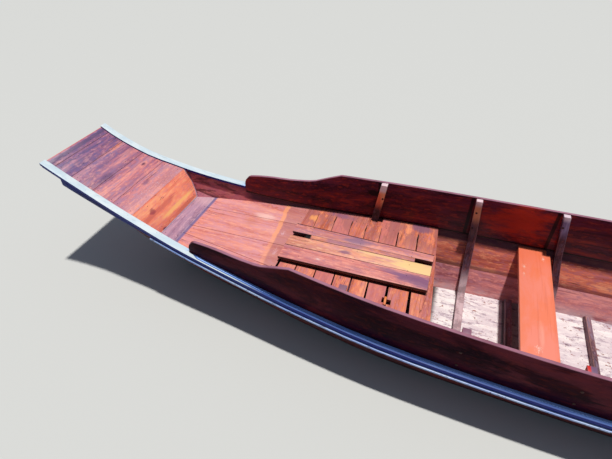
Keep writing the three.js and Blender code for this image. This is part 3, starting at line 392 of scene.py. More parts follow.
def make_slat_wood():
    wood = Wood("slat varnish", "Y", 6.4, 0.069)
    wood.timber("#b8583c", "#ee8664", "#ffa478", "#c87c84", 0.6)
    tone = wood.math("FRACT", wood.times(wood.plank, 0.371))
    wood.lay("#cc787e", tone, 0.35, 0.9, 0.65)
    wood.lay("#a4605c", wood.times(wood.level(wood.y, -0.24, -0.40),
                                   wood.level(wood.patch, 0.44, 0.52, 0.0, 0.6)))
    wood.stains(
        ((1.85, -0.50, 0.35), (0.11, 0.035, 0.1), "#94607a", 0.8),
        ((1.24, -0.58, 0.34), (0.09, 0.045, 0.1), "#8c6078", 0.85),
        ((2.076, -0.394, 0.357), (0.03, 0.04, 0.1), "#ffac68", 0.85),
        # The four thin black marks below are painted shade in the open starboard ends of gaps.
        ((1.241, -0.446, 0.336), (0.007, 0.056, 0.1), "#2c1014", 1.0),
        ((1.641, -0.406, 0.346), (0.005, 0.034, 0.1), "#3c1a18", 1.0),
        ((1.761, -0.434, 0.349), (0.005, 0.038, 0.1), "#3c1a18", 1.0),
        ((1.898, -0.432, 0.353), (0.005, 0.052, 0.1), "#3c1a18", 1.0))
    # Painted shade: the slats under the bench are darkened, in a box that drifts askew with the
    # bench's boards.
    drift = wood.minus(wood.x, BENCH_MIDDLE)
    starboard = wood.minus(wood.y, wood.times(drift, 0.018))
    port = wood.minus(wood.y, wood.times(drift, 0.050))
    under = wood.times(wood.level(starboard, -0.236, -0.230), wood.level(port, 0.158, 0.153),
                       wood.between(drift, -0.53, -0.52, 0.52, 0.53))
    wood.rub("#f4b098", 0.5)
    wood.lay("#1c090b", wood.times(under, 0.85))
    # Painted shade: a black band along the grating's fore edge stands for the shade in the gap to
    # the floor.
    gap_shade = wood.times(wood.between(wood.x, 2.121, 2.123, 2.144, 2.146),
                        wood.between(wood.y, 0.099, 0.101, 0.419, 0.421))
    wood.lay("#060102", gap_shade)
    return wood.varnish(0.42, 0.62, specular=wood.level(gap_shade, 0, 1, 0.4, 0.02))


def make_board(name, seed, tones, share=0.5, rows=(), run="X", gloss=0.4, sides=0.0, rim=None):
    """A varnished board. Sides paints its upright faces darker, as shade.

    Rim is a dark edge along the bench: its y at the bench's middle, and its slope."""
    wood = Wood(name, run, seed)
    wood.timber(*tones, share)
    wood.stains(*rows)
    wood.rub("#f0b4a4", 0.3)
    if rim:
        edge, slope = rim
        beside = wood.minus(wood.y, wood.times(wood.minus(wood.x, BENCH_MIDDLE), slope))
        wood.lay("#2a0c12", beside, edge + 0.002, edge, 0.95)
    # Painted shade: the upright faces are darkened by the share that sides gives.
    wood.lay("#1c0a0c", wood.math("ABSOLUTE", wood.upward), 0.5, 0.2, sides)
    return wood.varnish(gloss, gloss + 0.2)


slat_wood = make_slat_wood()
bench_starboard = make_board(
    "bench board, purple", 8.1, ("#b86864", "#e09088", "#ffac94", "#b8849c"), 0.75,
    [((1.66, -0.185, 0.40), (0.11, 0.04, 0.1), "#94708c", 0.85)], sides=0.8, rim=(-0.2260, 0.018))
bench_middle = make_board(
    "bench board, pale", 9.7, ("#d88870", "#fcac8c", "#ffc8a4", "#d4949c"), 0.5,
    [((1.17, -0.06, 0.38), (0.30, 0.085, 0.1), "#ffdc94", 0.8),
     ((1.48, -0.088, 0.39), (0.20, 0.022, 0.1), "#ffd89c", 0.7),
     ((1.71, -0.040, 0.396), (0.045, 0.022, 0.1), "#90607c", 0.85)], sides=0.8)
bench_port = make_board(
    "bench board, pink", 11.2, ("#b85c60", "#ee9488", "#ffb09c", "#c0808c"), 0.6,
    [((1.18, 0.05, 0.38), (0.16, 0.06, 0.1), "#80587e", 0.85),
     ((1.36, 0.03, 0.38), (0.10, 0.03, 0.1), "#946888", 0.7),
     ((1.867, 0.104, 0.40), (0.03, 0.014, 0.1), "#ffe4dc", 0.7)], sides=0.9)
bearer_wood = make_board(
    "bench bearers", 12.8, ("#b46858", "#ec9478", "#ffb48c", "#b47c90"), 0.5,
    [((1.72, -0.12, 0.39), (0.14, 0.03, 0.1), "#a87890", 0.7),
     # The black patch below is painted shade in the open slot at the bench's fore end.
     ((2.06, -0.10, 0.40), (0.075, 0.10, 0.2), "#080203", 1.0)], sides=0.8)
strip_wood = make_board("strip between the finger holes", 14.2,
                        ("#e07434", "#ff9440", "#ffb060", "#e8905c"))
print("slats, three bench boards, their bearers and a strip done")

# %% [markdown]
# ### Washboards
# The washboards carry the thickest varnish: nearly black-brown, with a top edge worn to lilac-pink.
# Their outside is blotched nearly black. Two pieces could show that, but a real board is one, so the
# finish asks which way a face looks. Inside, a red reflection of the thwart, bands of shade beside
# the frames and a line of shade along the lower edge are painted on.

# %% Washboard finish
POSTS = (1.562, 0.878, 0.290, -0.42, -1.11, -1.80)      # where frames stand against the washboards


def outside(recipe):
    """One on faces that look away from the centreline, zero on faces that look at it."""
    return recipe.level(recipe.times(recipe.sideways, recipe.y), 0.0, 0.001, soft=False)


def make_washboard_wood():
    wood = Wood("washboard varnish", "X", 13.4)
    wood.timber("#300c1a", "#601a26", "#983426", "#602436", low=0.5)
    wood.stains(
        ((1.64, -0.55, 0.58), (0.035, 0.3, 0.022), "#140408", 0.9),
        ((0.86, -0.64, 0.56), (0.024, 0.3, 0.02), "#140408", 0.9),
        ((0.42, -0.66, 0.55), (0.02, 0.3, 0.018), "#140408", 0.9),
        # The red patch over the thwart is a painted reflection of the red thwart.
        ((0.56, -0.66, 0.50), (0.26, 0.3, 0.14), "#c4321a", 0.75))
    wood.lay((1.3, 1.25, 1.45, 1), 1.0, way="MULTIPLY")
    away = outside(wood)
    within = wood.level(away, 0, 1, 0.85, 0.0)
    for post in POSTS:
        shadow = wood.between(wood.x, post + 0.018, post + 0.026, post + 0.044, post + 0.052)
        wood.lay("#10040a", wood.times(shadow, within))
    rise = wood.mark("rise")
    # A black line painted along the lower edge stands for the shade there.
    wood.lay("#0c0308", rise, 1.020, 1.014, 0.9)
    blot = wood.noise(wood.stretch((0.22, 1.0, 0.8)), 9.0, 4.0, 0.6, 0.3)
    low = wood.wander(rise, blot, 0.2)
    old = wood.blend("#08030e", "#200a16", blot, 0.42, 0.50)
    old = wood.blend(old, "#4c1c26", blot, 0.53, 0.62)
    old = wood.blend(old, "#0e0420", low, 1.15, 1.08, 0.75)
    dry = wood.times(wood.level(low, 1.09, 1.15), wood.level(wood.x, 1.0, 0.5, 0.05, 0.5),
                     wood.level(blot, 0.47, 0.55))
    wood.lay(wood.blend(old, "#7c3840", dry), wood.times(away, 0.78))
    top = wood.math("MAXIMUM", wood.level(wood.upward, 0.85, 0.97), wood.times(wood.worn, 0.5))
    wood.lay("#b07c90", wood.times(top, wood.level(wood.patch, 0.3, 0.6, 0.5, 0.95)))
    return wood.varnish(0.3, 0.45, 0.0007, wood.level(away, 0, 1, 0.14, 0.03))


washboard_wood = make_washboard_wood()
print("made", washboard_wood.name)

# %% [markdown]
# ### Side planks
# A plank is brown wood inside the boat, purple and dark at the bow, and outside it is old red
# paint that turns to slime below the waterline. Thin skins could carry these looks, but it is
# one board, so one finish asks which way a face looks and how high it lies. The shade under the
# rail and the washboards is painted on, as a dark line along the top and a purple band below it,
# and it follows the bent plank's own edges, by numbers kept at its corners.

# %% Side planks, inside and outside
def make_side_planks(name, seed, tones):
    wood = Wood(name, "X", seed)
    wood.timber(*tones)
    wood.lay("#dcc0c4", wood.times(wood.level(wood.z, -0.01, -0.09, 0.0, 0.6),
                                   wood.level(wood.patch, 0.4, 0.55, 0.1, 1.0)))
    bow = wood.level(wood.x, 2.3, 2.75)
    wood.lay("#b46080", wood.times(bow, 0.55))
    dark = wood.noise(wood.stretch((0.12, 1.0, 1.0)), 26.0, 6.0, 0.66)
    wood.lay("#5c2a2c", wood.times(bow, wood.level(dark, 0.50, 0.60, 0.0, 0.75)))
    wood.lay("#4c2030", wood.mark("depth"), 1.88, 1.94, 0.6)
    drop = wood.mark("drop")
    lip = wood.level(drop, 0.5, 0.9)
    # Painted shade: a dark line along the top under the rail, and a purple band below it under the
    # washboards.
    wood.lay("#1c0a18", wood.times(lip, wood.level(drop, 1.022, 1.010, 0.0, 0.85)))
    wood.lay("#301434", wood.times(lip, wood.level(drop, 1.098, 1.084, 0.0, 0.8),
                                   wood.level(wood.x, 2.72, 2.60)))
    red = wood.blend("#480202", "#6c0c06", wood.patch, 0.4, 0.6)
    scrape = wood.noise(wood.stretch((0.4, 1, 1)), 38.0, 5.0, 0.65)
    red = wood.blend(red, "#402020", scrape, 0.62, 0.66)
    slime = wood.blend("#0c0d0a", "#232a18", wood.pores, 0.3, 0.7)
    tide = wood.wander(wood.z, wood.patch, 0.06)
    wood.lay(wood.blend(red, slime, tide, 0.06, 0.02), outside(wood))
    return wood.varnish(0.45, 0.62)


upper_planks = make_side_planks("upper side planks", 15.5,
                                ("#a84a40", "#f08062", "#ffa880", "#bc6c78"))
lower_planks = make_side_planks("lower side planks", 17.1,
                                ("#9c5058", "#dc8684", "#f8a49c", "#c08090"))
print("made", upper_planks.name, "and", lower_planks.name)

# %% [markdown]
# ### Bottom
# Inside, the bottom's white paint is chipped down to brown wood and strewn with crumbs. Each
# chip could be modelled, but thresholds on stretched noise give thousands for nothing. Outside
# it is red and slimy, and the direction of the faces tells the two sides apart. Under the grating
# and under the thwart the inside is painted dark, as shade.

# %% Bottom, inside and outside
def make_bottom_paint():
    wood = Wood("bottom, chipped white inside", "X", 19.0)
    wood.color = wood.blend("#fff6f2", "#e4d4d8", wood.patch, 0.4, 0.6)
    thin = wood.noise(wood.stretch((0.3, 1, 1)), 30.0, 7.0, 0.72)
    wood.lay("#ac94a4", thin, 0.52, 0.60, 0.75)
    wood.lay("#74545c", thin, 0.63, 0.66, 0.8)
    chip = wood.level(wood.noise(wood.stretch((0.6, 1, 1)), 48.0, 6.0, 0.66), 0.61, 0.64)
    wood.lay("#9c4c34", wood.times(chip, 0.9))
    crumbs = wood.level(wood.noise(wood.place, 110.0), 0.68, 0.71)
    wood.lay("#3c2028", wood.times(crumbs, 0.85))
    # Painted shade: the bottom under the grating is dark, so its gaps show black.
    wood.lay(wood.blend("#1c0e0c", "#4c3028", wood.streak), wood.x, 0.99, 1.04)
    # Painted shadow of the red thwart, under it and just forward of it.
    thwart_shadow = wood.between(wood.x, 0.26, 0.30, 0.512, 0.525)
    wood.lay("#2c1c24", wood.times(thwart_shadow, 0.75))
    slime = wood.blend("#0e0f0c", "#232a1a", wood.patch, 0.4, 0.7)
    red = wood.blend("#701408", "#98260f", wood.patch, 0.4, 0.6)
    below = wood.blend(slime, red, wood.z, 0.03, 0.06)
    wood.color = wood.blend(below, wood.color, wood.upward, 0.0, 0.1)
    relief = wood.minus(wood.times(wood.pores, 0.3), wood.plus(chip, crumbs))
    return wood.surface(wood.level(chip, 0, 1, 0.55, 0.8), relief, 0.0012, 0.8)


bottom_paint = make_bottom_paint()
print("made", bottom_paint.name)

# %% [markdown]
# ### Frames and floor timbers
# The side timbers are dark at mid height and worn pale at the foot. Their heads are orange
# towards the bow and lilac further aft, and their tops are white to starboard and purple-grey to
# port. Part of this is painted light: sunlight on the heads above the washboards' shade, a glint
# on the starboard tops, and the white bottom's reflection on the feet. Each tone could be a piece
# of its own, but heights on one board part them more softly, and the grain's streaks mix each
# tone with a second one.

# %% Frames and floor timbers
def make_frame_wood():
    wood = Wood("frame timber", "Z", 21.7)
    wood.timber("#2c1020", "#5c2c34", "#8c4c4c", "#6c4c60")
    # The heads' orange band is partly painted sunlight above the washboards' shade.
    orange_and_sunlit = wood.blend("#ff7850", "#ffa878", wood.streak, 0.4, 0.6)
    lilac = wood.blend("#5c4468", "#a08cb0", wood.streak, 0.4, 0.6)
    wood.lay(wood.blend(lilac, orange_and_sunlit, wood.x, 0.4, 0.5), wood.z, 0.44, 0.54, 0.95)
    # The pale foot is wear, and partly a painted reflection of the white bottom.
    wood.lay("#e0c0c4", wood.times(wood.level(wood.z, 0.12, -0.02),
                                   wood.level(wood.patch, 0.4, 0.55, 0.5, 1.0), 0.9))
    top = wood.times(wood.level(wood.upward, 0.7, 0.95), wood.level(wood.z, 0.5, 0.6))
    top = wood.math("MAXIMUM", top, wood.level(wood.z, 0.60, 0.64, 0.0, 0.85))
    # The tops are painted white as a sunlit glint on the starboard side, and purple-grey on the port
    # side.
    glint_tops = wood.blend("#f4dce4", "#7c5c78", wood.y, -0.01, 0.01)
    wood.lay(glint_tops, wood.times(top, 0.9))
    wood.lay("#d82418", wood.times(wood.between(wood.x, 0.284, 0.294, 0.39, 0.40),
                                   wood.level(wood.z, 0.60, 0.62), wood.level(wood.y, 0, 0.1)))
    wood.rub("#a8808c", 0.45)
    return wood.varnish(0.38, 0.6)


frame_wood = make_frame_wood()
timber_wood = make_board("floor timber", 23.3, ("#4c2c3c", "#84545c", "#b48480", "#947c90"), 0.7,
                         run="Y", gloss=0.5)
print("made", frame_wood.name, "and", timber_wood.name)

# %% [markdown]
# ### Painted wood
# Paint on a working boat is thin at edges and chipped in spots, and old coats show under it.
# A threshold on fine noise makes the chips, the marked edges widen them, and a slow noise
# fades the colour.

# %% Painted finishes
def painted(name, tone, faded, chip_color, chips, run, seed, soot=0.15):
    """A coat of paint on wood, and the mask of its chips."""
    wood = Wood(name, run, seed)
    wood.color = wood.blend(tone, faded, wood.patch, 0.4, 0.6)
    wood.lay("#000000", wood.fibres, 0.42, 0.3, soot)
    fine = wood.noise(wood.stretch(BROAD[run]), 46.0, 6.0, 0.66)
    chip = wood.level(wood.plus(fine, wood.times(wood.worn, 0.06)), chips, chips + 0.02)
    wood.lay(chip_color, chip)
    return wood, chip


def enamel(wood, chip, specular=0.5):
    relief = wood.minus(wood.times(wood.pores, 0.25), chip)
    return wood.surface(0.4, relief, 0.0006, specular=specular)


def make_red_paint():
    wood, chip = painted("thwart paint", "#fa8560", "#fb8e76", "#d8a090", 0.70, "Y", 25.0, 0.05)
    wood.lay("#fa7444", wood.y, -0.3, -0.6, 0.5)
    wood.stains(((0.38, 0.20, 0.30), (0.02, 0.10, 0.1), "#ffb4a0", 0.4))
    wood.scuffs(
        "#ffd8c8", 0.8,
        ((0.335, -0.57, 0.30), (0.022, 0.045, 0.1)), ((0.47, -0.44, 0.30), (0.024, 0.04, 0.1)),
        ((0.47, -0.36, 0.30), (0.012, 0.03, 0.1)), ((0.40, 0.30, 0.30), (0.03, 0.05, 0.1)))
    wood.lay("#e0603c", wood.fibres, 0.44, 0.36, 0.14)
    return wood.surface(0.45, wood.minus(wood.times(wood.fibres, 0.5), chip), 0.0008)


def make_rail_paint():
    wood, chip = painted("rail paint", "#cfe2ec", "#e4f0f4", "#8c9ca8", 0.66, "X", 27.0)
    # Beside the washboards the rail is painted steel blue as their shade; a line along the outer
    # edge stays pale as the sunlit edge and fades out.
    aft = wood.wander(wood.x, wood.patch, 0.16)
    edge = wood.mark("rail_edge")
    line = wood.times(wood.level(edge, 0.70, 0.78), wood.level(aft, 2.05, 2.35))
    beside = wood.times(wood.level(aft, 2.72, 2.62), wood.minus(1.0, line))
    # The inner half lies in the sun's shadow and is painted lighter, the outer sunlit half darker,
    # so that both show one blue.
    steel = wood.blend("#34549a", "#4868a8", wood.streak, 0.4, 0.6)
    inner = wood.blend((0.24, 0.44, 1.0, 1), (0.34, 0.54, 1.0, 1), wood.streak, 0.4, 0.6)
    wood.lay(wood.blend(inner, steel, edge, 0.50, 0.56), beside)
    wood.lay("#16248c", wood.upward, 0.75, 0.5)
    return enamel(wood, chip, 0.2)


def make_plain_paint(*coat, specular=0.5):
    return enamel(*painted(*coat), specular)


red_paint = make_red_paint()
rail_paint = make_rail_paint()
navy_paint = make_plain_paint("navy paint", "#0c1866", "#182c80", "#5c6c94", 0.66, "X", 29.0,
                              specular=0.12)
strip_paint = make_plain_paint("rub strip paint", "#84a4e4", "#b4ccf4", "#4c4c5c", 0.63, "X", 31.0)
caulk = make_plain_paint("caulk", "#c8b8cc", "#a898b4", "#6c5468", 0.64, "Y", 41.0)
print("four paints and the caulk done")

# %% [markdown]
# ### Metal, rubber and plastic of the motor
# The motor's parts are cast, rolled or painted steel that has lived outdoors on a river: dull,
# greasy in the corners and rusty where paint is off. Each finish mixes two tones by noise, with
# a fine bump for the casting's skin.

# %% Motor finishes
def metal(name, tone, second, dirt, rough, metalness, grit, rust, coat=0.0, height=0.0003):
    recipe = Recipe(name)
    cloud = recipe.noise(recipe.place, 14.0, 5.0, 0.65)
    fine = recipe.noise(recipe.place, grit, 3.0, 0.6)
    spots = recipe.noise(recipe.place, 48.0, 5.0, 0.65)
    spots = recipe.plus(spots, recipe.times(recipe.mark("worn"), 0.05))
    dirty = recipe.level(spots, rust, rust + 0.06)
    recipe.color = recipe.blend(tone, second, cloud, 0.35, 0.65)
    recipe.lay(dirt, dirty)
    roughness = recipe.plus(recipe.level(dirty, 0, 1, rough, 0.8), recipe.times(fine, 0.1))
    relief = recipe.minus(fine, recipe.times(dirty, 0.6))
    return recipe.surface(roughness, relief, height, metal=metalness, coat=coat)


steel_paint = metal("grey steel paint", "#3a4046", "#4c545a", "#6a3a20", 0.45, 0.2, 300.0, 0.62)
galvanised = metal("galvanised steel", "#9a9ea0", "#7c8284", "#7a5238", 0.42, 0.85, 160.0, 0.66)
cast_alloy = metal("cast alloy", "#a4a6a4", "#8a8c8c", "#3c3a36", 0.45, 0.75, 500.0, 0.60,
                   height=0.0005)
tank_paint = metal("tank enamel", "#b02a1c", "#c4402c", "#4a3028", 0.28, 0.0, 90.0, 0.70, coat=0.4)
black_plastic = metal("black plastic", "#1a1b1d", "#26282b", "#4c4a44", 0.5, 0.0, 600.0, 0.68)
heat_steel = metal("heat-blued steel", "#4c3c34", "#6c5648", "#7a4a2c", 0.5, 0.8, 260.0, 0.56)
rubber = metal("rubber", "#141415", "#1f2021", "#4c4840", 0.75, 0.0, 700.0, 0.70)
bronze = metal("propeller bronze", "#a8803c", "#8c6a34", "#3c4c38", 0.32, 0.9, 120.0, 0.66)
bolt_steel = metal("bolt steel", "#8c8e90", "#6c6e70", "#6a3c20", 0.4, 0.9, 300.0, 0.58)
nail_iron = metal("nail iron", "#3c2420", "#54302a", "#6c3420", 0.6, 0.4, 400.0, 0.55)
print("ten motor finishes done")

# %% [markdown]
# ## Boards with soft edges
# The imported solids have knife-sharp edges. No board does: a plane and years of use have taken
# them off. Each wooden node is copied, its loose triangles are merged, its edges are bevelled,
# and the copy stands for the node. The new faces of the bevel are marked as worn, so that
# a finish can rub through there. A deck is also cut into its planks, each with a number.

# %% Copy a node, cut it and soften its edges
MERGE = 1e-5             # corners closer than this are one
FLAT = math.radians(0.2)  # faces that bend less than this are one
SMOOTH = math.radians(32)  # edges that bend less than this are shaded smooth


def copy_of(node):
    """The node's mesh as one closed bmesh, with its flat faces whole again."""
    part = bmesh.new()
    part.from_mesh(nodes[node].data)
    bmesh.ops.remove_doubles(part, verts=part.verts, dist=MERGE)
    bmesh.ops.dissolve_degenerate(part, edges=part.edges, dist=MERGE)
    bmesh.ops.dissolve_limit(part, angle_limit=FLAT, verts=part.verts, edges=part.edges)
    return part


def cut(part, point, normal, **options):
    """Cuts a bmesh by a plane, and keeps both sides unless the options say otherwise."""
    whole = part.verts[:] + part.edges[:] + part.faces[:]
    return bmesh.ops.bisect_plane(part, geom=whole, plane_co=point, plane_no=normal, **options)


def open_edges(part):
    return [edge for edge in part.edges if edge.is_boundary]


def keep_side(part, point, normal):
    """Cuts a closed body by a plane, drops what the normal points at, and closes the cut."""
    cut(part, point, normal, clear_outer=True, dist=1e-6)
    if open_edges(part):
        bmesh.ops.holes_fill(part, edges=open_edges(part), sides=0)


def soften(part, width, segments=2, sharp=30):
    """Bevels the sharp edges and marks the new faces as worn."""
    mark = part.faces.layers.float.get("worn") or part.faces.layers.float.new("worn")
    keen = [edge for edge in part.edges
            if edge.is_manifold and math.degrees(edge.calc_face_angle(0)) > sharp]
    made = bmesh.ops.bevel(part, geom=keen, offset=width, offset_type="OFFSET", affect="EDGES",
                           segments=segments, profile=0.5, material=-1, clamp_overlap=True)
    for face in made["faces"]:
        face[mark] = 1.0


print("faces of the packed bow deck, made whole:", len(copy_of("bow_deck").faces))

# %% [markdown]
# ### From a bmesh to a piece
# A bmesh is only a workbench. The finished shape goes into a mesh, the mesh into an object, and
# the object rides on the body that it moves with. Bevels have to look round and boards flat. An
# edge split could do that, but it opens the shape, so an angle sets the sharp edges instead.

# %% From a bmesh to a piece of the boat
def join(whole, part):
    """Adds one bmesh to another and frees it."""
    data = bpy.data.meshes.new("part")
    part.to_mesh(data)
    part.free()
    whole.from_mesh(data)
    bpy.data.meshes.remove(data)


def add_piece(name, data, material, body):
    """Turns a mesh or a curve into a piece of the boat that rides on a body."""
    data.materials.append(material)
    piece = bpy.data.objects.new(name, data)
    bpy.context.scene.collection.objects.link(piece)
    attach(piece, body)
    return piece


def finish_mesh(whole, name, material, body):
    """Smooths a bmesh between its sharp edges and makes a piece of it."""
    data = bpy.data.meshes.new(name)
    many_sided = [face for face in whole.faces if len(face.verts) > 4]
    bmesh.ops.triangulate(whole, faces=many_sided)
    whole.to_mesh(data)
    whole.free()
    data.shade_smooth()
    data.set_sharp_from_angle(angle=SMOOTH)
    return add_piece(name, data, material, body)


body_of = {node: body for body, members in frame["record"]["behaviour"]["bodies"].items()
           for node in members}
print("bodies:", sorted(set(body_of.values())))

# %% [markdown]
# ### Planks from one solid
# A packed deck or floor is one solid, and the real one is a row of planks with seams between
# them. They could be modelled one by one, but cuts through copies of the solid keep its outline
# exactly. Each copy is trimmed to its own plank, so a gap shows the real depth of the wood.

# %% Boards from a node
def boards(node, material, width=0.0025, cuts=(), trims=(), shape=None, holes=None):
    """A softened copy of a wooden node, cut into planks and trimmed.

    Each cut between two planks is a point, a normal, the gap's width and its flare to port.
    Each trim is a point and a normal that points at what comes off. A shape is a function that
    lays or leans the copy before it is cut. Holes gives a plank's finger hole by its number.
    """
    joined = bmesh.new()
    for index in range(len(cuts) + 1):
        part = copy_of(node)
        if shape:
            shape(part)
        for point, normal in trims:
            keep_side(part, point, normal)
        for place, way in ((index - 1, 1), (index, -1)):
            if 0 <= place < len(cuts):
                point, normal, gap, flare = cuts[place]
                turn = Matrix.Rotation(-flare * way, 3, "Z")
                keep_side(part, point + way * normal * gap / 2, -way * (turn @ normal))
        if holes and index in holes:
            finger_hole(part, *holes[index])
        soften(part, width)
        plank = part.faces.layers.float.new("plank")
        for face in part.faces:
            face[plank] = float(index)
        join(joined, part)
    piece = finish_mesh(joined, f"{node}.boards", material, body_of[node])
    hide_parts(node)
    return piece


print("made the board cutter")

# %% [markdown]
# ### Loose and leaning boards
# Old boards aren't where a rule would put them. The bench's boards lie loose and a little askew,
# and the frames' side timbers lean along the boat. Both are moves of the copy's corners. For a
# lean the timber is first cut level at two heights, so that it can bend there.

# %% Lay, lean and seam
LOWER = -0.018           # the bench sits this much closer to the slats than its solids
SEAM = 0.0004            # closed seam between two planks


def laid(sideways, slope, lift=LOWER):
    """Lays a loose board a little askew. The slope is its drift to port for each metre forward."""
    def lay(part):
        for vertex in part.verts:
            vertex.co += Vector((0, sideways + slope * (vertex.co.x - BENCH_MIDDLE), lift))
    return lay


def leaned(reach, wider, high=0.62, low=0.36):
    """Leans a frame's side timbers: their lower parts move by reach along the boat."""
    def lean(part):
        for z in (high, low):
            cut(part, (0, 0, z), UP)
        part.normal_update()
        for vertex in part.verts:
            share = min(max((high - vertex.co.z) / (high - low), 0.0), 1.0)
            vertex.co.x += share * (reach + math.copysign(wider / 2, vertex.normal.x))
    return lean


def across(places, gap=SEAM):
    """Cuts for seams across the boat."""
    return [(Vector((x, 0, 0)), Vector((1, 0, 0)), gap, 0.0) for x in sorted(places)]


print("seams are", SEAM * 1000, "mm wide")

# %% [markdown]
# ### The bow
# The deck's five planks are butted so closely that only a hair of shadow shows between them.
# Pale caulk runs along the ramp's edges, as a round line half sunk in the corner. The floor's
# seams run along the boat and aren't quite parallel, because its planks taper.

# %% The bow's boards
DECK_SEAMS = (3.372, 3.545, 3.716, 3.838)
boards("bow_deck", deck_wood, 0.0008, across(DECK_SEAMS, 0.0002))
boards("bow_ramp", ramp_wood, 0.003)
boards("ramp_foot_plank", foot_wood)
boards("bow_end_board", deck_wood)


def bead(name, points, radius, material):
    """A thin round line of caulk along a row of points."""
    data = bpy.data.curves.new(name, "CURVE")
    data.dimensions = "3D"
    data.bevel_depth = radius
    data.bevel_resolution = 2
    data.use_fill_caps = True
    spline = data.splines.new("POLY")
    spline.points.add(len(points) - 1)
    for point, place in zip(spline.points, points):
        point.co = (*place, 1)
    return add_piece(name, data, material, "hull")


def ramp_edges():
    """The ramp's open face, as its two side edges and its foot, each a row of points."""
    ramp = copy_of("bow_ramp")
    open_face = max((face for face in ramp.faces if face.normal.x < -0.3),
                    key=lambda face: face.calc_area())
    corners = [vertex.co.copy() for vertex in open_face.verts]
    ramp.free()
    starboard, port = [sorted((co for co in corners if co.y * side > 0), key=lambda co: -co.z)
                       for side in (-1, 1)]
    return {"starboard": starboard, "port": port, "foot": [starboard[-1], port[-1]]}


for label, row in ramp_edges().items():
    print("ramp edge", label, [tuple(round(value, 4) for value in co) for co in row])
    bead(f"ramp_caulk_{label}", row, 0.0035, caulk)

# %% The bow's floor
FLOOR_ENDS = (2.139, 2.938)
FLOOR_SEAMS = ((-0.202, -0.265), (0.050, 0.008), (0.150, 0.255))


def lengthwise(fore, aft):
    """A cut along the floor, from its y at the fore end to its y at the aft end."""
    start, end = Vector((FLOOR_ENDS[0], aft, 0)), Vector((FLOOR_ENDS[1], fore, 0))
    along = (end - start).normalized()
    return start, Vector((-along.y, along.x, 0)), SEAM, 0.0


bow_floor = boards("floor_planks", floor_wood, 0.002,
                   [lengthwise(fore, aft) for fore, aft in FLOOR_SEAMS])
print("floor faces:", len(bow_floor.data.polygons))

# %% [markdown]
# ### The grating's gaps and finger holes
# The slats lie a little askew, and the gaps between them close towards starboard. Two finger
# holes lift the grating out. Each is a notch through the edges of its slat: the slat is cut
# along the four sides of the hole, the faces inside come out, and bridge_loops builds the walls
# between the upper and the lower rim.

# %% Cuts and trims of the grating and the bench
SKEW = 0.069             # how far a slat leans: metres aft for each metre to port
PIVOT_Y = 0.140          # the gaps' places and widths are measured here
CLOSED = 0.0008          # width of a gap at its starboard end
SLAT_GAPS = ((1.201, 0.017), (1.352, 0.016), (1.486, 0.011), (1.603, 0.011), (1.723, 0.009),
             (1.859, 0.008), (2.003, 0.008))
FAR_END = 0.63           # how far to starboard of the pivot the gaps close


def askew(x, wide):
    """A cut for a gap between two slats."""
    point = Vector((x, PIVOT_Y, 0))
    return point, Vector((1, SKEW, 0)).normalized(), wide, (wide - CLOSED) / 2 / FAR_END


def beyond(y, way, slope=0.0):
    """A trim that takes off what lies beyond y, to port (1) or to starboard (-1)."""
    return Vector((BENCH_MIDDLE, y, 0)), Vector((-slope * way, way, 0)).normalized()


print("gaps between slats:", len(SLAT_GAPS))

# %% Finger holes
SOLID_HOLES = Vector((1.3478, 0.216, 0.326))         # between the two holes of the solid
HOLES_REACH = 0.040                                  # their walls lie this near to it
FINGER_HOLES = {1: ((1.3050, 0.2520), (1.3500, 0.2960)), 2: ((1.3400, 0.2440), (1.3670, 0.2900))}


def without_holes(part):
    """Closes the solid's two finger holes, which are cut again nearer to the port side."""
    walls = [face for face in part.faces
             if all((vertex.co - SOLID_HOLES).length < HOLES_REACH for vertex in face.verts)]
    bmesh.ops.delete(part, geom=walls, context="FACES")
    bmesh.ops.holes_fill(part, edges=open_edges(part), sides=4)


def finger_hole(part, low, high):
    """Cuts a finger hole through the edge of a slat."""
    low, high = Vector((*low, 0)), Vector((*high, 0))
    middle, reach = (low + high) / 2, (high - low) / 2
    along, across = Vector((1, SKEW, 0)).normalized(), Vector((-SKEW, 1, 0)).normalized()
    for way, far in ((along, reach.x), (-along, reach.x), (across, reach.y), (-across, reach.y)):
        cut(part, middle + way * far, way, dist=1e-6)
    gone = []
    for face in part.faces:
        place = face.calc_center_median() - middle
        if abs(place.dot(along)) < reach.x and abs(place.dot(across)) < reach.y:
            gone.append(face)
    bmesh.ops.delete(part, geom=gone, context="FACES")
    rims = [edge for edge in open_edges(part)
            if abs(edge.verts[0].co.z - edge.verts[1].co.z) < 0.01]
    bmesh.ops.bridge_loops(part, edges=rims)
    bmesh.ops.recalc_face_normals(part, faces=part.faces)
    print("finger hole:", len(gone), "faces out,", len(open_edges(part)), "open edges left")


# %% [markdown]
# ### Slats and bench boards
# The grating is a row of eight slats, and three loose boards on bearers make the low bench on
# it. The slats are cut from one solid. The bench's boards are trimmed along their long edges
# and laid askew, each by its own shift and slope, because no two of them lie alike.

# %% Grating and bench
grating = boards("grating", slat_wood, 0.002, [askew(*gap) for gap in SLAT_GAPS],
                 shape=without_holes, holes=FINGER_HOLES)
for node, material, width, trims, askew_by in (
        ("seat_board_starboard", bench_starboard, 0.002, [beyond(-0.1455, 1, 0.043)],
         (-0.0145, 0.018)),
        ("seat_board_middle", bench_middle, 0.002,
         [beyond(0.0091, 1, 0.047), beyond(-0.0975, -1, 0.043)], (-0.0245, 0.047)),
        ("seat_board_port", bench_port, 0.002, (), (-0.0245, 0.050)),
        ("seat_bearers", bearer_wood, 0.0015, (), (-0.0245, 0.043))):
    boards(node, material, width, (), trims, laid(*askew_by))
print("grating faces:", len(grating.data.polygons))

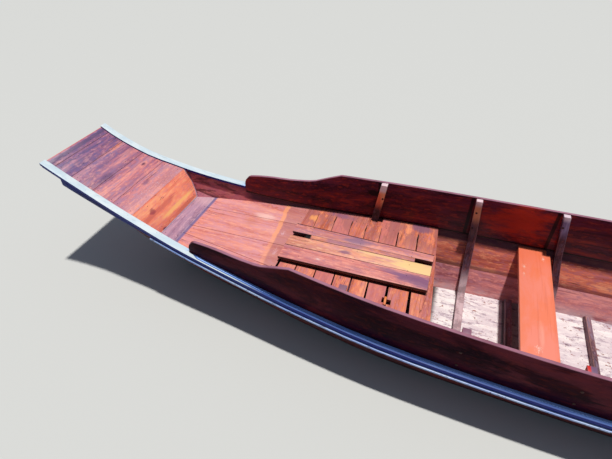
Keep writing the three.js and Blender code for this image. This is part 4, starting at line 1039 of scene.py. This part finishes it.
# %% [markdown]
# ### Numbers that follow a bent piece
# The rails, sides and washboards bend along the boat, so a finish can't tell from plain
# coordinates how far a point lies from an edge. Each corner of these meshes keeps that as a
# number, worked out from the corners at the same place along the boat.

# %% Numbers kept at the corners
def keep_numbers(piece, name, numbers):
    kept = piece.data.attributes.new(name, "FLOAT", "POINT")
    for item, number in zip(kept.data, numbers):
        item.value = number


def by_station(corners, value):
    """The values at each place along the boat, rounded to 10 mm."""
    stations = {}
    for co in corners:
        stations.setdefault(round(co.x, 2), []).append(value(co))
    return stations


def along_rows(rows, x):
    """The two rows that x lies between, and its share of the way from one to the other."""
    after = next((i for i, row in enumerate(rows) if row[0] >= x), len(rows) - 1)
    row, following = rows[max(after - 1, 0)], rows[after]
    share = (x - row[0]) / (following[0] - row[0]) if following[0] > row[0] else 0.0
    return row, following, share


def out_on_rail(piece):
    """Keeps how far out each corner lies on the rail: 0 at its inner edge, 1 at its outer."""
    corners = [vertex.co for vertex in piece.data.vertices]
    stations = by_station(corners, lambda co: abs(co.y))
    numbers = []
    for co in corners:
        reach = stations[round(co.x, 2)]
        numbers.append((abs(co.y) - min(reach)) / max(max(reach) - min(reach), 1e-4))
    keep_numbers(piece, "rail_edge", numbers)


def above_foot(piece):
    """Keeps 1 and each corner's height over the lower edge, which sags between its ends."""
    corners = [vertex.co for vertex in piece.data.vertices]
    sag = []
    for x, z in sorted((round(co.x, 3), co.z) for co in corners):
        while len(sag) > 1 and ((sag[-1][0] - sag[-2][0]) * (z - sag[-2][1])
                                <= (sag[-1][1] - sag[-2][1]) * (x - sag[-2][0])):
            sag.pop()
        sag.append((x, z))
    numbers = []
    for co in corners:
        (_, z0), (_, z1), share = along_rows(sag, co.x)
        numbers.append(1.0 + co.z - (z0 + share * (z1 - z0)))
    keep_numbers(piece, "rise", numbers)


def between_edges(piece):
    """Keeps 1 and how far each corner lies under the upper edge: in metres and as a share.

    Places where the piece has corners at one edge only are left out."""
    corners = [vertex.co for vertex in piece.data.vertices]
    stations = by_station(corners, lambda co: co.z)
    spans = sorted((x, max(reach), min(reach)) for x, reach in stations.items())
    spans = [(x, high, low) for x, high, low in spans
             if high - low > 0.75 * max(top - foot for at, top, foot in spans if abs(at - x) < 0.5)]
    drops, depths = [], []
    for co in corners:
        (_, high0, low0), (_, high1, low1), share = along_rows(spans, co.x)
        share = min(max(share, 0.0), 1.0)
        high, low = high0 + share * (high1 - high0), low0 + share * (low1 - low0)
        drops.append(1.0 + high - co.z)
        depths.append(1.0 + (high - co.z) / (high - low))
    keep_numbers(piece, "drop", drops)
    keep_numbers(piece, "depth", depths)
    print(piece.name, "has", len(spans), "places with both edges")


# %% [markdown]
# ### Sides, frames and seats
# The long pieces come in pairs, one for each side of the boat. The washboards keep their height
# over their lower edge, where a line of shade is painted and the outside darkens towards the
# bottom, and the upper planks keep their depth under the rail, where the shade of the rail and the
# washboards is painted on them. Three frames lean, as on the real boat.

# %% Washboards, sides, frames and seats
for side in ("port", "starboard"):
    above_foot(boards(f"washboard_{side}", washboard_wood, 0.004))
    between_edges(boards(f"strake_upper_{side}", upper_planks, 0.0015))
    boards(f"strake_lower_{side}", lower_planks, 0.0015)
    boards(f"cheek_board_{side}", navy_paint, 0.002)
    boards(f"rub_strip_{side}", strip_paint, 0.002)
boards("hull_bottom", bottom_paint, 0.0015)
LEANS = {1: leaned(0.045, 0.010, 0.68, 0.33), 2: leaned(-0.006, 0.010),
         3: leaned(-0.085, 0.006, 0.66, 0.10)}
for number in range(1, 7):
    boards(f"frame_{number}", frame_wood, 0.003, shape=LEANS.get(number))
for number in range(1, 4):
    boards(f"floor_timber_{number}", timber_wood, 0.004)
boards("thwart_red", red_paint, 0.0035)
thwart_wood = make_board("thwart varnish", 33.0, ("#7c3c34", "#b8684c", "#e0946c", "#946470"),
                         run="Y")
boards("thwart_middle", thwart_wood, 0.0035)
boards("thwart_aft", thwart_wood, 0.0035)
print("sides, frames and seats done")

# %% [markdown]
# ### Rails
# The rail's top is pale blue at the bow. Beside the washboards it is painted steel blue as their
# shade, its inner half lighter and its outer half darker so that shade and sun show one blue, and
# a white line along its outer edge, left pale as the sunlit edge, fades out. The line follows the
# rail, so each corner of the mesh keeps how far out it lies on the rail, from 0 at the inner edge
# to 1 at the outer.

# %% Rails
for side in ("port", "starboard"):
    rail = boards(f"rail_{side}", rail_paint, 0.003)
    out_on_rail(rail)
    print(rail.name, "has", len(rail.data.vertices), "corners")

# %% [markdown]
# ### The stern
# The stern mirrors the bow, lower and plainer: a deck of four planks, a ramp, a floor and an end
# board, with the block that carries the motor.

# %% Stern boards
STERN_SEAMS = (-3.370, -3.200, -3.030)
STERN_FLOOR_SEAMS = (-0.24, 0.0, 0.24)
stern_deck_wood = make_board("stern deck varnish", 35.0,
                             ("#8c4c5c", "#c07878", "#ec9884", "#98708c"), 0.7, run="Y")
boards("stern_deck", stern_deck_wood, 0.002, across(STERN_SEAMS))
boards("stern_ramp", ramp_wood, 0.003)
boards("stern_floor", floor_wood, 0.002,
       [(Vector((0, y, 0)), Vector((0, 1, 0)), SEAM, 0.0) for y in STERN_FLOOR_SEAMS])
boards("stern_end_board", deck_wood)
boards("mount_block", timber_wood, 0.004)
print("stern done")

# %% [markdown]
# ## Motor
# Cast and pressed parts are copied and softened in the same way as the boards, but stay whole.
# The propeller is one flowing shape, so a Subdivision Surface rounds it instead: its triangles
# are joined to quads first, because they round more evenly.

# %% Motor castings
TANK_TOP = 1.158         # the cap above it is turned separately


def casting(node, material):
    """A softened copy of a metal, plastic or rubber node."""
    part = copy_of(node)
    if node == "fuel_tank":
        keep_side(part, Vector((0, 0, TANK_TOP)), UP)
    soften(part, 0.0012, sharp=40)
    piece = finish_mesh(part, f"{node}.casting", material, body_of[node])
    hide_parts(node)


def rounded_propeller():
    part = copy_of("propeller")
    bmesh.ops.join_triangles(part, faces=part.faces, angle_face_threshold=0.5,
                             angle_shape_threshold=0.9)
    piece = finish_mesh(part, "propeller.casting", bronze, body_of["propeller"])
    rounded = piece.modifiers.new("rounded", "SUBSURF")
    rounded.levels = rounded.render_levels = 2
    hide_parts("propeller")


for node, material, slot in (
        ("mount_socket", galvanised, "galvanised"), ("swivel_yoke", galvanised, "galvanised"),
        ("motor_cradle", steel_paint, "steel_paint"), ("crankcase", cast_alloy, "cast_alloy"),
        ("drive_housing", cast_alloy, "cast_alloy"), ("recoil_cover", tank_paint, "tank_paint"),
        ("cylinder", cast_alloy, "cast_alloy"), ("fuel_tank", tank_paint, "tank_paint"),
        ("air_cleaner", black_plastic, "black_plastic"), ("muffler", heat_steel, "heat_steel"),
        ("tail_tube", galvanised, "galvanised"), ("skeg", galvanised, "galvanised")):
    casting(node, material)
rounded_propeller()
casting("tiller", steel_paint)
casting("tiller_grip", rubber)
print("motor castings done")

# %% [markdown]
# ## Nails, screws and bolts
# Each head is turned on its own axis from a short profile. A ray from above or from the side
# finds the wood under it, so that every head sits flush on its board.

# %% Parts turned or cut from stock
def turn_to(axis):
    return UP.rotation_difference(Vector(axis)).to_matrix().to_4x4()


def placed(part, centre, axis):
    """Turns a part from upright to an axis and moves it to its place."""
    matrix = Matrix.Translation(Vector(centre)) @ turn_to(axis)
    bmesh.ops.transform(part, matrix=matrix, verts=part.verts)
    return part


def turned(rows, centre=(0, 0, 0), axis=(0, 0, 1), steps=20):
    """A round part. Each row of its profile is a height and a radius."""
    part = bmesh.new()
    row = [part.verts.new((radius, 0, height)) for height, radius in rows]
    line = [part.edges.new(pair) for pair in zip(row, row[1:])]
    bmesh.ops.spin(part, geom=row + line, cent=(0, 0, 0), axis=(0, 0, 1), angle=2 * math.pi,
                   steps=steps, use_merge=True)
    bmesh.ops.remove_doubles(part, verts=part.verts, dist=1e-6)
    bmesh.ops.recalc_face_normals(part, faces=part.faces)
    return placed(part, centre, axis)


def block(low, high, width=0.0015):
    """A block with soft edges, from its low to its high corner."""
    part = bmesh.new()
    bmesh.ops.create_cube(part, size=1.0)
    low, high = Vector(low), Vector(high)
    bmesh.ops.scale(part, vec=high - low, verts=part.verts)
    bmesh.ops.translate(part, vec=(high + low) / 2, verts=part.verts)
    soften(part, width)
    return part


print("a turned pin has", len(turned([(0, 0), (0, 1), (1, 1), (1, 0)]).faces), "faces")

# %% [markdown]
# ### Hexagon heads, bent bars and profiles
# A hexagon head is a cone with six sides and equal ends, bevelled at its upper rim, on a thin
# washer. A bent bar is a row of circles, bridged from one to the next, because a spin makes
# round parts only. Nails, screws and bolts need no more than a profile, and it has few points
# because there are hundreds of them.

# %% Hexagon heads, bent bars and heads' profiles
WASHER = 0.0015          # a washer's thickness


def hex_head(centre, axis, across, high, washer=True):
    """A hexagon head, on a washer if asked."""
    part = bmesh.new()
    start = WASHER if washer else 0.0
    middle = start + high / 2
    radius = across / 2 / math.cos(math.radians(30))
    bmesh.ops.create_cone(part, cap_ends=True, segments=6, radius1=radius, radius2=radius,
                          depth=high, matrix=Matrix.Translation((0, 0, middle)))
    rim = [edge for edge in part.edges if all(vertex.co.z > middle for vertex in edge.verts)]
    bmesh.ops.bevel(part, geom=rim, offset=high * 0.15, offset_type="OFFSET", affect="EDGES",
                    segments=1, profile=0.5, material=-1)
    pieces = [placed(part, centre, axis)]
    if washer:
        wide = across * 0.8
        disc = [(0, 0), (0, wide), (WASHER, wide), (WASHER + 0.0001, 0)]
        pieces.append(turned(disc, centre, axis, 16))
    return pieces


def tube(points, radius, sides=10):
    """A bent round bar through a row of points, closed at both ends."""
    part = bmesh.new()
    rings = []
    for index, point in enumerate(points):
        way = points[min(index + 1, len(points) - 1)] - points[max(index - 1, 0)]
        made = bmesh.ops.create_circle(part, segments=sides, radius=radius, cap_ends=False,
                                       matrix=Matrix.Translation(point) @ turn_to(way))
        rings.append([edge for edge in part.edges
                      if all(vertex in made["verts"] for vertex in edge.verts)])
    for ring, after in zip(rings, rings[1:]):
        bmesh.ops.bridge_loops(part, edges=ring + after)
    bmesh.ops.holes_fill(part, edges=open_edges(part), sides=0)
    bmesh.ops.recalc_face_normals(part, faces=part.faces)
    return part


def assemble(name, body, material, parts):
    """One piece of several parts that ride together."""
    whole = bmesh.new()
    for part in parts:
        join(whole, part)
    return finish_mesh(whole, name, material, body)


NAIL = ((-0.0010, 0.0028), (0.0003, 0.0030), (0.0008, 0.0022), (0.0009, 0.0))
SCREW = ((-0.0010, 0.0045), (0.0002, 0.0047), (0.0006, 0.0036), (0.0002, 0.0015), (0.0002, 0.0))
CARRIAGE = ((-0.0010, 0.0080), (0.0004, 0.0082), (0.0024, 0.0060), (0.0034, 0.0030), (0.0036, 0.0))
print("profiles:", len(NAIL), len(SCREW), len(CARRIAGE))

# %% [markdown]
# ### Heads on wood
# A head that floats over its board shows at once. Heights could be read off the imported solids,
# but the boards have since been lowered, leaned and rounded. So a ray asks the finished board
# where its surface is and which way it looks, and the head is set there.

# %% Heads on wood
RAY_ABOVE = 2.0          # where rays from above start
RAY_BESIDE = 1.2         # where rays from the sides start
NEAR = 0.03              # corners this close to a station give a piece's height there
STEPS = 200              # steps to a metre, when a piece's breadth is felt out
trees = {}


def touch(piece, start, way):
    """Where a ray meets a piece: the point and the face's normal, or None."""
    if piece.name not in trees:
        data = piece.data
        trees[piece.name] = BVHTree.FromPolygons([vertex.co for vertex in data.vertices],
                                                 [face.vertices[:] for face in data.polygons])
    point, normal, _, _ = trees[piece.name].ray_cast(Vector(start), Vector(way))
    return (point, normal) if point else None


def heads(name, profile, material, hits, steps=8):
    """One piece of many heads, each on the point and along the normal of a hit."""
    parts = [turned(profile, point, normal, steps) for point, normal in filter(None, hits)]
    print(name, "heads:", len(parts))
    return assemble(name, "hull", material, parts)


def from_above(node, places):
    """The hits of rays from above on a node's boards, where these lie rather than stand."""
    piece = bpy.data.objects[f"{node}.boards"]
    hits = [touch(piece, (x, y, RAY_ABOVE), -UP) for x, y in places]
    return [hit for hit in hits if hit and hit[1].z > 0.4]


def half_breadth(node, x):
    """How far out the piece reaches at x, seen from above."""
    steps = [step / STEPS for step in range(STEPS * 3 // 4)]
    return max((y for y in steps if from_above(node, [(x, y)])), default=0.0)


def rows_across(node, stations, inner=(0.12,), margin=0.028):
    """Hits in rows across a deck or seat: some near the middle, and one near each edge."""
    places = []
    for x in stations:
        edge = half_breadth(node, x) - margin
        places += [(x, side * y) for side in (-1, 1) for y in (*inner, edge) if 0 < y <= edge]
    return from_above(node, places)


def from_side(node, stations, lift=0.0):
    """The hits of rays from beside the boat, near the middle height of a node's boards."""
    piece = bpy.data.objects[f"{node}.boards"]
    side = 1 if "port" in node else -1
    hits = []
    for x in stations:
        near = [vertex.co.z for vertex in piece.data.vertices if abs(vertex.co.x - x) < NEAR]
        if near:
            start = (x, side * RAY_BESIDE, (min(near) + max(near)) / 2 + lift)
            hits.append(touch(piece, start, (0, -side, 0)))
    return hits


def steps_along(low, high, step):
    return [low + step * index for index in range(int((high - low) / step) + 1)]


print("finders of wood ready")

# %% [markdown]
# ### Nails
# Planks are nailed near both edges, over the timbers that carry them. The rows of the bow deck
# and the grating are laid out from their seams rather than drawn by eye, so that no nail lands in
# a gap. The other rows are short lists of places.

# %% Nails in the decks, floors and seats
deck_rows = [x for low, high in zip((3.205, *DECK_SEAMS), (*DECK_SEAMS, 3.895))
             for x in (low + 0.028, high - 0.028) if high - low > 0.1] + [3.862]
nails = rows_across("bow_deck", deck_rows) + rows_across("bow_ramp", (3.187, 3.100), (0.18,))
nails += rows_across("ramp_foot_plank", (2.955, 3.060), (0.20,))
floor_rows = (-0.46, -0.36, -0.27, -0.17, -0.06, 0.0, 0.075, 0.12, 0.24, 0.34, 0.44)
nails += from_above("floor_planks", [(x, y) for x in (2.164, 2.890) for y in floor_rows])
slat_edges = [1.060, *[x for x, _ in SLAT_GAPS], 2.137]
slat_middles = [(low + high) / 2 for low, high in zip(slat_edges, slat_edges[1:])]
nails += from_above("grating", [(x + shift - SKEW * (y - PIVOT_Y), y) for x in slat_middles
                                for shift in (-0.028, 0.028) for y in (-0.475, 0.475)])
for node, rows in (("seat_board_starboard", (-0.210, -0.165)),
                   ("seat_board_middle", (-0.075, -0.012)), ("seat_board_port", (0.038, 0.125))):
    nails += from_above(node, [(x, y) for x in (1.250, 1.626, 2.002) for y in rows])
for node, low, high in (("thwart_red", 0.325, 0.465), ("thwart_middle", -0.665, -0.525),
                        ("thwart_aft", -1.435, -1.295)):
    nails += rows_across(node, (low, high), ())
stern_deck_rows = (-2.89, -3.00, -3.06, -3.17, -3.23, -3.34, -3.40, -3.50)
nails += rows_across("stern_deck", stern_deck_rows, (0.15,))
stern_rows = (-0.40, -0.28, -0.2, -0.05, 0.05, 0.2, 0.28, 0.4)
nails += from_above("stern_floor", [(x, y) for x in (-2.085, -2.735) for y in stern_rows])
heads("deck_nails", NAIL, nail_iron, nails)

# %% [markdown]
# ### The strip between the finger holes
# A bright strip of wood closes the gap between the two finger holes. It is a small block with
# soft edges, turned as the slats are.

# %% The strip between the finger holes
grip = block((-0.0075, -0.036, -0.010), (0.0075, 0.036, 0.0), 0.001)
bmesh.ops.rotate(grip, cent=(0, 0, 0), matrix=Matrix.Rotation(SKEW, 3, "Z"), verts=grip.verts)
bmesh.ops.translate(grip, vec=(1.3435, 0.264, 0.3345), verts=grip.verts)
strip = assemble("grip_strip", "hull", strip_wood, [grip])
print("strip faces:", len(strip.data.polygons))

# %% [markdown]
# ### Screws and bolts in the sides
# Screws hold the rub strips, the cheek boards and the planks. Carriage bolts hold the washboards
# to the frames, with nuts inside. The sides bend, so rays from beside the boat find each board
# at even steps. Heads that would widen the boat are dropped.

# %% Screws and bolts in the sides
FRAMES = (1.562, 0.870, 0.284, -0.420, -1.110, -1.800)
screws, bolts, nut_hits = [], [], []
for side, way in (("port", 1), ("starboard", -1)):
    screws += from_side(f"rub_strip_{side}", steps_along(-3.1, 2.7, 0.29))
    screws += from_side(f"cheek_board_{side}", steps_along(-3.5, 3.6, 0.355))
    bolts += from_side(f"washboard_{side}", FRAMES, 0.035)
    bolts += from_side(f"washboard_{side}", FRAMES, -0.075)
    strake = bpy.data.objects[f"strake_upper_{side}.boards"]
    for number, x in enumerate(FRAMES, 1):
        screws += [touch(strake, (x + shift, way * RAY_BESIDE, z), (0, -way, 0))
                   for shift in (-0.012, 0.012) for z in (0.10, 0.17)]
        frame_piece = bpy.data.objects[f"frame_{number}.boards"]
        nut_hits += [touch(frame_piece, (x, 0, z), (0, way, 0)) for z in (0.42, 0.56)]
WIDEST = 0.7427          # heads beyond this would widen the boat
screws = [hit for hit in screws if hit and abs(hit[0].y) < WIDEST]
heads("side_screws", SCREW, nail_iron, screws)
heads("washboard_bolts", CARRIAGE, nail_iron, bolts, 12)
nuts = [part for hit in filter(None, nut_hits) for part in hex_head(*hit, 0.010, 0.005)]
assemble("frame_nuts", "hull", nail_iron, nuts)
print("frame nuts:", len(nuts) // 2)

# %% [markdown]
# ### Motor fittings
# The castings carry what a mechanic would look for: the bolts of the mount, nuts on the tilt
# pin, the crankcase's covers and filler, the starter's ridges and handle, head bolts, plug and
# carburettor, straps and a cap on the tank, bands on the muffler, collars on the long tube, and
# clamps and a throttle lever on the tiller. They ride with what they sit on.

# %% Mount and tilt pin
PIN = (-3.600, 0.778)    # the tilt pin's x and z
FLANGE = 0.052           # the flange's bolts stand this far from the swivel's axis
flange_bolts = []
for degrees in (45, 135, 225, 315):
    x = PIN[0] + FLANGE * math.cos(math.radians(degrees))
    y = FLANGE * math.sin(math.radians(degrees))
    flange_bolts += hex_head((x, y, 0.6564), UP, 0.014, 0.007)
side_bolts = [part for way in (-1, 1) for x in (-3.665, -3.535)
              for part in hex_head((x, way * 0.095, 0.615), (0, way, 0), 0.016, 0.008)]
assemble("mount_bolts", "hull", bolt_steel, flange_bolts + side_bolts)
pin_nuts = [part for way in (-1, 1)
            for part in hex_head((PIN[0], way * 0.062, PIN[1]), (0, way, 0), 0.026, 0.010)]
assemble("tilt_pin_nuts", "swivel", bolt_steel, pin_nuts)
print("mount bolts and pin nuts done")

# %% [markdown]
# ### Covers and their bolts
# Bearing covers close the crankcase on both sides and the drive housing at the tube, each on a
# ring of six bolts. The covers are turned from profiles. The bolts could be placed by sines and
# cosines, but turning one radius about the cover's own axis works in every direction.

# %% Crankcase and drive housing
SHAFT = Vector((-3.4404, 0, 0.836))      # where the shaft leaves the drive housing
CASE_BOLTS = [(x, y, 0.7505) for x in (-3.455, -3.143) for y in (-0.092, 0.092)]
COVER = ((-0.002, 0.0), (-0.002, 0.037), (0.004, 0.037), (0.0065, 0.034), (0.0065, 0.018),
         (0.010, 0.015), (0.011, 0.0))
SHAFT_COVER = ((0.0, 0.050), (0.0, 0.064), (0.008, 0.064), (0.010, 0.061), (0.010, 0.050))
FILLER = ((0.0, 0.0), (0.0, 0.011), (0.010, 0.011), (0.012, 0.014), (0.020, 0.014),
          (0.022, 0.011), (0.022, 0.0))


def ring_of_bolts(radius, centre, axis, across, high, start=0):
    """Six hexagon heads on a circle round an axis."""
    axis = Vector(axis)
    first = radius * axis.orthogonal().normalized()
    ring = []
    for degrees in range(start, start + 360, 60):
        spot = Vector(centre) + Matrix.Rotation(math.radians(degrees), 3, axis) @ first
        ring += hex_head(spot, axis, across, high, washer=False)
    return ring


covers, cover_bolts = [], []
for way in (-1, 1):
    centre = (-3.325, way * 0.092, 0.8435)
    covers.append(turned(COVER, centre, (0, way, 0), 32))
    face = (centre[0], way * 0.0985, centre[2])
    cover_bolts += ring_of_bolts(0.0275, face, (0, way, 0), 0.007, 0.004)
covers.append(turned(SHAFT_COVER, SHAFT, (-1, 0, 0), 32))
face = SHAFT - Vector((0.010, 0, 0))
cover_bolts += ring_of_bolts(0.0585, face, (-1, 0, 0), 0.008, 0.005, 30)
case_bolts = [part for spot in CASE_BOLTS for part in hex_head(spot, UP, 0.013, 0.007)]
assemble("crankcase_covers", "motor", cast_alloy, covers)
assemble("crankcase_bolts", "motor", bolt_steel, case_bolts + cover_bolts)
assemble("oil_filler", "motor", black_plastic,
         [turned(FILLER, (-3.232, 0.092, 0.828), (0, 1, 0), 12)])
print("crankcase bolts:", len(CASE_BOLTS), "covers: 3")

# %% [markdown]
# ### Recoil starter
# The starter has a hub with ridges round it, and a pull handle on a short stem. A spin would
# smear a ridge to a ring, so one block is repeated round the axis. The handle is a bent bar.

# %% Recoil starter
START = Vector((-3.1476, 0, 0.852))      # the middle of the starter's cover
HANDLE_WAY = Vector((0, 0.65, 0.76))     # the handle's stem points this way
STARTER_HUB = ((-0.002, 0.034), (0.004, 0.034), (0.007, 0.030), (0.007, 0.012), (0.010, 0.010),
               (0.010, 0.0))
HANDLE_STEM = ((0.0, 0.0), (0.0, 0.008), (0.010, 0.008), (0.013, 0.006), (0.030, 0.006))


def ridges_round(count, low, high, place):
    """Blocks set round a turned part. Place is the matrix that takes them to it."""
    ridges = []
    for turn in range(count):
        ridge = block(low, high, 0.0008)
        matrix = place @ Matrix.Rotation(math.tau * turn / count, 4, "Z")
        bmesh.ops.transform(ridge, matrix=matrix, verts=ridge.verts)
        ridges.append(ridge)
    return ridges


ridges = ridges_round(16, (0.038, -0.0022, -0.002), (0.064, 0.0022, 0.003),
                      Matrix.Translation(START) @ Matrix.Rotation(math.pi / 2, 4, "Y"))
assemble("starter_ridges", "motor", tank_paint,
         [turned(STARTER_HUB, START, (1, 0, 0), 32), *ridges])
root = Vector((-3.172, 0, 0.852)) + HANDLE_WAY * 0.078
grip_line = [root + HANDLE_WAY * 0.030 + Vector((x, 0, 0.002 - abs(x) * 0.1))
             for x in (-0.026, -0.013, 0.0, 0.013, 0.026)]
assemble("starter_handle", "motor", black_plastic,
         [turned(HANDLE_STEM, root, HANDLE_WAY, 12), tube(grip_line, 0.008)])
print("starter ridges:", len(ridges))

# %% [markdown]
# ### Cylinder head, plug and carburettor
# The cylinder leans, and its bolts and plug lean with it. They are made upright, where a profile
# is easy to write, and turned to the cylinder's axis afterwards. The carburettor is a block with
# a turned bowl under it, and the air cleaner has four ribs and a knob.

# %% Cylinder head, plug and carburettor
LEAN = Vector((0, -0.4078, 0.9131))      # the cylinder's axis
PLUG = ((0.0, 0.0), (0.0, 0.010), (0.009, 0.010), (0.011, 0.006), (0.020, 0.006))
PLUG_CAP = ((0.014, 0.0), (0.014, 0.0085), (0.018, 0.0095), (0.030, 0.0095), (0.034, 0.0085),
            (0.046, 0.0075), (0.048, 0.0))
FLOAT_BOWL = ((0.0, 0.0), (0.0, 0.014), (0.003, 0.017), (0.018, 0.017), (0.020, 0.019),
              (0.022, 0.019), (0.022, 0.0))
KNOB = ((-0.001, 0.0), (-0.001, 0.013), (0.004, 0.013), (0.006, 0.008), (0.014, 0.007),
        (0.015, 0.0))
HEAD = Vector((-3.330, -0.034, 0.862)) + LEAN * 0.167
head_bolts = []
for x in (-0.034, 0.034):
    for y in (-0.034, 0.034):
        head_bolts += hex_head(HEAD + Vector((x, y * LEAN.z, -y * LEAN.y)), LEAN, 0.011, 0.007)
assemble("head_bolts", "motor", bolt_steel, head_bolts)
assemble("spark_plug", "motor", galvanised, [turned(PLUG, HEAD, LEAN, 12)])
assemble("plug_boot", "motor", rubber, [turned(PLUG_CAP, HEAD, LEAN, 16)])
assemble("carburettor", "motor", cast_alloy,
         [block((-3.311, 0.052, 0.934), (-3.284, 0.092, 0.966), 0.004),
          turned(FLOAT_BOWL, (-3.297, 0.072, 0.912))])
ribs = [block((-3.388, 0.166, z), (-3.282, 0.171, z + 0.005))
        for z in (0.922, 0.938, 0.968, 0.984)]
knob = turned(KNOB, (-3.335, 0.168, 0.9565), (0, 1, 0), 16)
assemble("air_cleaner_ribs", "motor", black_plastic, [*ribs, knob])
print("head bolts and washers:", len(head_bolts))

# %% [markdown]
# ### Bands and clamps
# A band is a slice of the part that it holds, made a little larger, so that it always fits.

# %% Bands and clamps
def band(node, low, wide, grow=0.002):
    """A band round a long part: a slice of it, a little larger than it."""
    part = copy_of(node)
    keep_side(part, Vector((low, 0, 0)), Vector((-1, 0, 0)))
    keep_side(part, Vector((low + wide, 0, 0)), Vector((1, 0, 0)))
    corners = [vertex.co for vertex in part.verts]
    small, large = [Vector([pick(co[i] for co in corners) for i in range(3)]) for pick in (min, max)]
    middle, size = (small + large) / 2, large - small
    bmesh.ops.translate(part, vec=-middle, verts=part.verts)
    bmesh.ops.scale(part, vec=(1, 1 + 2 * grow / size.y, 1 + 2 * grow / size.z), verts=part.verts)
    bmesh.ops.translate(part, vec=middle, verts=part.verts)
    soften(part, min(grow * 0.6, 0.0015), 1)
    return part


assemble("tank_straps", "motor", steel_paint,
         [band("fuel_tank", low, 0.016, 0.0016) for low in (-3.384, -3.254)])
CAP_FOOT = Vector((-3.290, 0.030, 1.1575))
CAP = ((0.0, 0.0275), (0.004, 0.0290), (0.014, 0.0290), (0.0205, 0.0255), (0.0205, 0.0))
ridges = ridges_round(12, (0.0275, -0.003, 0.003), (0.0305, 0.003, 0.015),
                      Matrix.Translation(CAP_FOOT))
assemble("tank_cap", "motor", black_plastic,
         [turned(CAP, CAP_FOOT, UP, 32), *ridges])
assemble("muffler_bands", "motor", heat_steel,
         [band("muffler", low, 0.010, 0.0025) for low in (-3.412, -3.385, -3.295, -3.268)])
COLLARS = ((-3.552, 0.030, 0.004), (-4.220, 0.034, 0.0035), (-4.900, 0.034, 0.0035),
           (-5.480, 0.040, 0.0035), (-5.928, 0.060, 0.005))
assemble("tube_collars", "motor", galvanised,
         [band("tail_tube", *collar) for collar in COLLARS])
assemble("tiller_clamps", "motor", steel_paint,
         [band("tiller", low, 0.022, 0.0035) for low in (-3.448, -3.266, -3.170)])
assemble("hub_ring", "propeller", bronze, [band("propeller", -5.960, 0.010, 0.0015)])
LEVER_ROOT = Vector((-2.290, 0.068, 1.000))
LEVER = ((0, -0.012, 0.008), (0.02, -0.030, 0.020), (0.06, -0.038, 0.034), (0.11, -0.036, 0.040))
assemble("throttle_lever", "motor", galvanised,
         [band("tiller", -2.302, 0.020, 0.003),
          tube([LEVER_ROOT + Vector(step) for step in LEVER], 0.004)])
print("bands and clamps done")

# %% [markdown]
# ## Floor and light
# The pale floor lies at the boat's waterline. Its opening follows the middle of the planks at
# that level: inside the boat the floor would hide the bottom boards.

# %% Waterline
def waterline():
    """Half breadth of the hull at the waterline, from stern to bow."""
    rows = {}
    for node in ("strake_lower_port", "strake_upper_port", "hull_bottom"):
        part = copy_of(node)
        for item in cut(part, (0, 0, 0), UP)["geom_cut"]:
            if (isinstance(item, bmesh.types.BMVert)
                    and any(face.normal.y > 0.1 for face in item.link_faces)):
                rows.setdefault(round(item.co.x, 2), []).append(item.co.y)
        part.free()
    return sorted((x, max(reach)) for x, reach in rows.items())


line = waterline()
print("waterline from", line[0], "to", line[-1], "rows", len(line))

# %% Floor
PLANK_MIDDLE = 0.009     # half a side plank's thickness
HALF_FLOOR = 30.0        # half the floor's width


def make_floor():
    mesh = bmesh.new()
    port_side = [(x, max(y - PLANK_MIDDLE, 0.01)) for x, y in line]
    opening = port_side + [(x, -y) for x, y in reversed(port_side)]
    border = [(HALF_FLOOR * x, HALF_FLOOR * y) for x, y in ((-1, -1), (1, -1), (1, 1), (-1, 1))]
    edges = []
    for loop in (opening, border):
        corners = [mesh.verts.new((x, y, 0)) for x, y in loop]
        edges += [mesh.edges.new(pair) for pair in zip(corners, corners[1:] + corners[:1])]
    bmesh.ops.triangle_fill(mesh, use_beauty=True, use_dissolve=False, edges=edges, normal=UP)
    data = bpy.data.meshes.new("floor")
    mesh.to_mesh(data)
    mesh.free()
    recipe = Recipe("pale floor")
    recipe.color = "#d4d6d2"
    data.materials.append(recipe.surface(0.85, specular=0.2))
    floor = bpy.data.objects.new("floor", data)
    bpy.context.scene.collection.objects.link(floor)
    return floor


floor = make_floor()
print("floor faces:", len(floor.data.polygons))

# %% [markdown]
# ### Light
# One broad sun stands almost overhead, so the boat's sides shade its inside softly. A pale blue
# backdrop lights the shadows.

# %% Light
SUN_WAY = Vector((0.10, 0.07, -1.0))     # the sun shines this way
sun_data = bpy.data.lights.new("key", "SUN")
sun_data.energy = 3.75
sun_data.angle = math.radians(2.5)
sun_data.color = (1.0, 0.965, 0.93)
sun = bpy.data.objects.new("key", sun_data)
sun.location = (0, 0, 8)
sun.rotation_euler = SUN_WAY.to_track_quat("-Z", "Y").to_euler()
bpy.context.scene.collection.objects.link(sun)

world = bpy.data.worlds.new("studio")
world.use_nodes = True
backdrop = world.node_tree.nodes["Background"]
backdrop.inputs["Color"].default_value = (0.66, 0.76, 1.0, 1)
backdrop.inputs["Strength"].default_value = 0.24
bpy.context.scene.world = world
bpy.context.scene.view_settings.view_transform = "Standard"
print("lights:", [lamp.name for lamp in bpy.data.lights])
